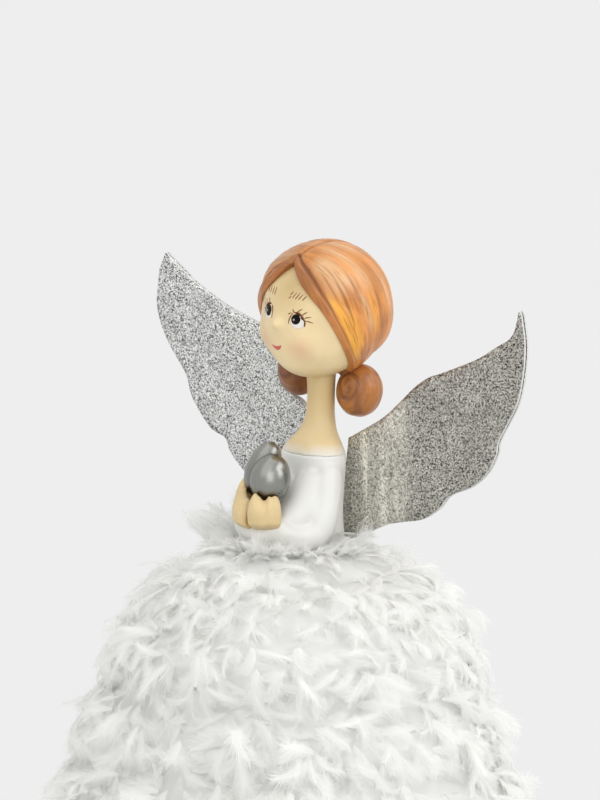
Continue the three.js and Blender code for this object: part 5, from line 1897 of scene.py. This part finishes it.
# Plain finishes: name, colour, roughness, spread of the tone, and scale and depth of the grain
SHADE_FILM = ("shade_film", (0.82, 0.82, 0.8), 0.45, 0.03, 300, 0.00008)
BASE_FINISHES = [
    (["base_plate"], ("base_moulding", (0.72, 0.72, 0.69), 0.5, 0.03, 1400, 0.00006)),
    (["battery_door"], ("door_moulding", (0.7, 0.7, 0.67), 0.45, 0.03, 1400, 0.00006)),
    (
        ["foot_pad_1", "foot_pad_2", "foot_pad_3", "foot_pad_4"],
        ("foot_rubber", (0.33, 0.33, 0.32), 0.75, 0.08, 1000, 0.0001),
    ),
    (
        ["switch_housing", "switch_knob"],
        ("switch_moulding", (0.02, 0.02, 0.021), 0.45, 0.2, 1500, 0.00005),
    ),
]
ELECTRIC_FINISHES = [
    (["circuit_board"], ("board_lacquer", (0.03, 0.16, 0.05), 0.35, 0.15, 900, 0.00004)),
    (["positive_lead"], ("red_insulation", (0.5, 0.02, 0.015), 0.4, 0.1, 900, 0.00003)),
    (
        ["negative_lead", "switched_lead"],
        ("black_insulation", (0.015, 0.015, 0.015), 0.4, 0.2, 900, 0.00003),
    ),
    (["light_string"], ("string_film", (0.62, 0.5, 0.3), 0.3, 0.1, 900, 0.00003)),
]


class ANGEL_OT_shade(bpy.types.Operator):
    """Bell: the pale moulded shade under the trim"""

    bl_idname = "angel.shade"
    bl_label = "Bell Shade"

    def execute(self, context):
        repaint(["skirt_form"], plain_paint(*SHADE_FILM))
        return {"FINISHED"}


class ANGEL_OT_base(bpy.types.Operator):
    """Base: moulded plate, battery door, rubber feet and slide switch"""

    bl_idname = "angel.base"
    bl_label = "Battery Base"

    def execute(self, context):
        for names, finish in BASE_FINISHES:
            repaint(names, plain_paint(*finish))
        return {"FINISHED"}


class ANGEL_OT_electrics(bpy.types.Operator):
    """Electrics: cells, contacts, board, leads, screws and the light string"""

    bl_idname = "angel.electrics"
    bl_label = "Electrics"

    def execute(self, context):
        repaint(
            ["positive_contact", "negative_contact", "bridge_contact"],
            metal("contact_nickel", (0.6, 0.59, 0.56), 0.3),
        )
        repaint(
            ["switch_screw_left", "switch_screw_right", "bust_screw", "bust_washer"],
            metal("screw_steel", (0.5, 0.5, 0.5), 0.32),
        )
        repaint(["battery_1", "battery_2"], cell_material())
        for names, finish in ELECTRIC_FINISHES:
            repaint(names, plain_paint(*finish))
        return {"FINISHED"}


# The cells' ends along their length in millimetres, and the sleeve's tones by share between them
CELL_ENDS = (-25.5, 25)
CELL_TONES = [
    (0.0, (0.35, 0.35, 0.34)),
    (0.02, (0.02, 0.022, 0.03)),
    (0.7, (0.025, 0.027, 0.035)),
    (0.72, (0.3, 0.12, 0.04)),
]


def cell_material():
    """A plain dark sleeve with a copper-toned end."""
    shader = Shader("cell_sleeve", Coat_Weight=0.4, Coat_Roughness=0.15)
    shader.base(shader.ramp(shader.between(shader.axis("X"), CELL_ENDS), CELL_TONES))
    shader.rough(shader.noise(300), 0.25, 0.35)
    return shader.material


# Stage, in metres

VIEW_TARGET = {"height": 0.258, "aside": 0.004}
LAMP_TARGET_HEIGHT = 0.2
# The floor's rings; the smallest is the hole under the base
FLOOR_RADII = (0.084, 0.25, 0.6, 1.5, 4.0, 12.0, 40.0)
SHADOW_REACH = (0.13, 0.5)


class ANGEL_OT_stage(bpy.types.Operator):
    """Stage: pale floor, soft lamps and the camera"""

    bl_idname = "angel.stage"
    bl_label = "Stage"

    def execute(self, context):
        stage = context.scene.angel_stage
        make_camera(context.scene, stage)
        make_floor(stage)
        make_lamps(stage)
        make_world(context.scene, stage)
        context.scene.view_settings.view_transform = "Standard"
        return {"FINISHED"}


def view_axes(stage):
    """The camera's way back from the figure, and its way to the right."""
    a, e = stage.azimuth, stage.elevation
    back = Vector((math.sin(a) * math.cos(e), -math.cos(a) * math.cos(e), math.sin(e)))
    right = Vector((math.cos(a), math.sin(a), 0))
    return back, right


def make_camera(scene, stage):
    """A long lens from far off, as in the photograph, so that near and far wing keep their scale."""
    back, right = view_axes(stage)
    target = Vector((0, 0, VIEW_TARGET["height"])) + right * VIEW_TARGET["aside"]
    data = bpy.data.cameras.new("photo_camera")
    data.sensor_width = 36
    data.lens = data.sensor_width * stage.distance / stage.view_height
    camera = bpy.data.objects.new("photo_camera", data)
    camera.location = target + back * stage.distance
    camera.rotation_euler = back.to_track_quat("Z", "Y").to_euler()
    scene.collection.objects.link(camera)
    scene.camera = camera


def make_floor(stage):
    """A flat round floor that reaches far past the camera, open under the base for views from below."""
    sides = 64
    turns = np.linspace(0, 2 * math.pi, sides, endpoint=False)
    rings = [
        np.stack([r * np.cos(turns), r * np.sin(turns), np.zeros(sides)], -1) / MM
        for r in FLOOR_RADII
    ]
    points = np.concatenate(rings)
    faces = [tuple(reversed(face)) for face in grid_faces(len(rings), sides)]
    floor = mesh_piece("floor", points, faces, smooth=False)
    floor.data.materials.append(floor_material(stage))


def shown_rays(shader):
    """1 for the rays that show a thing itself: straight, mirrored or through glass."""
    rays = shader.add("ShaderNodeLightPath").outputs
    seen = shader.calc("MAXIMUM", rays["Is Camera Ray"], rays["Is Glossy Ray"])
    return shader.calc("MAXIMUM", seen, rays["Is Transmission Ray"])


def floor_material(stage):
    """A plain pale tone where it is seen, which near the figure takes the figure's shadow."""
    shader = Shader("floor_paper", Roughness=0.9, Specular_IOR_Level=0.1)
    tone = stage.backdrop
    shader.base((tone, tone, tone))
    away = shader.vector("LENGTH", {0: shader.coordinates()}, "Value")
    far = shader.span(away, *SHADOW_REACH, 0.25, 1)
    glow = shader.add("ShaderNodeEmission", {"Color": (tone, tone, tone), "Strength": 1.0})
    shader.mix_in(glow.outputs["Emission"], shader.calc("MULTIPLY", shown_rays(shader), far))
    return shader.material


# Softboxes: name, metres to the camera's right, towards the camera and up, size, power
LAMPS = [
    ("key_softbox", (1.05, 0.35, 0.9), 1.0, 6.6),
    ("fill_softbox", (-0.45, 0.65, 1.1), 1.2, 2.6),
    ("front_softbox", (0.0, 1.35, 0.7), 0.9, 3.2),
    ("top_softbox", (0.1, -0.2, 1.5), 1.0, 2.2),
]


def make_lamps(stage):
    """Square soft lamps that face the figure."""
    back, right = view_axes(stage)
    ahead = Vector((back.x, back.y, 0)).normalized()
    for name, (aside, near, up), size, power in LAMPS:
        data = bpy.data.lights.new(name, "AREA")
        data.shape = "RECTANGLE"
        data.size = size
        data.size_y = size
        data.energy = power
        lamp = bpy.data.objects.new(name, data)
        lamp.location = right * aside + ahead * near + Vector((0, 0, up))
        away = lamp.location - Vector((0, 0, LAMP_TARGET_HEIGHT))
        lamp.rotation_euler = away.to_track_quat("Z", "Y").to_euler()
        bpy.context.scene.collection.objects.link(lamp)


def make_world(scene, stage):
    """Even light from all round; seen itself, the world has the floor's tone."""
    world = bpy.data.worlds.new("studio")
    scene.world = world
    world.use_nodes = True
    tree = world.node_tree
    lit = tree.nodes["Background"]
    lit.inputs["Color"].default_value = (1, 1, 1, 1)
    lit.inputs["Strength"].default_value = stage.sky
    shown = tree.nodes.new("ShaderNodeBackground")
    shown.inputs["Color"].default_value = (1, 1, 1, 1)
    shown.inputs["Strength"].default_value = stage.backdrop
    rays = tree.nodes.new("ShaderNodeLightPath")
    first = tree.nodes.new("ShaderNodeMath")
    second = tree.nodes.new("ShaderNodeMath")
    first.operation = second.operation = "MAXIMUM"
    mixed = tree.nodes.new("ShaderNodeMixShader")
    tree.links.new(rays.outputs["Is Camera Ray"], first.inputs[0])
    tree.links.new(rays.outputs["Is Glossy Ray"], first.inputs[1])
    tree.links.new(first.outputs[0], second.inputs[0])
    tree.links.new(rays.outputs["Is Transmission Ray"], second.inputs[1])
    tree.links.new(second.outputs[0], mixed.inputs[0])
    tree.links.new(lit.outputs["Background"], mixed.inputs[1])
    tree.links.new(shown.outputs["Background"], mixed.inputs[2])
    tree.links.new(mixed.outputs["Shader"], tree.nodes["World Output"].inputs["Surface"])


# Panel and registration

STEPS = [
    ANGEL_OT_stage,
    ANGEL_OT_head,
    ANGEL_OT_face_paint,
    ANGEL_OT_hair,
    ANGEL_OT_buns,
    ANGEL_OT_dress,
    ANGEL_OT_heart,
    ANGEL_OT_hands,
    ANGEL_OT_wings,
    ANGEL_OT_feathers,
    ANGEL_OT_ruff,
    ANGEL_OT_shade,
    ANGEL_OT_base,
    ANGEL_OT_electrics,
]
SETTINGS = [
    ("angel_trim", AngelTrimSettings),
    ("angel_paint", AngelPaintSettings),
    ("angel_stage", AngelStageSettings),
]


class ANGEL_PT_panel(bpy.types.Panel):
    """The steps and settings of the figurine"""

    bl_idname = "ANGEL_PT_panel"
    bl_label = "Angel Figurine"
    bl_space_type = "VIEW_3D"
    bl_region_type = "UI"
    bl_category = "Angel"

    def draw(self, context):
        for name, group in SETTINGS:
            box = self.layout.box()
            box.label(text=group.__doc__)
            for key in group.__annotations__:
                box.prop(getattr(context.scene, name), key)
        for step in STEPS:
            self.layout.operator(step.bl_idname)


def register():
    for name, group in SETTINGS:
        bpy.utils.register_class(group)
        setattr(bpy.types.Scene, name, PointerProperty(type=group))
    for kind in [*STEPS, ANGEL_PT_panel]:
        bpy.utils.register_class(kind)


def unregister():
    for kind in reversed([*STEPS, ANGEL_PT_panel]):
        bpy.utils.unregister_class(kind)
    for name, group in reversed(SETTINGS):
        delattr(bpy.types.Scene, name)
        bpy.utils.unregister_class(group)


def main():
    register()
    for step in STEPS:
        group, name = step.bl_idname.split(".")
        getattr(getattr(bpy.ops, group), name)()


if __name__ == "__main__":
    main()
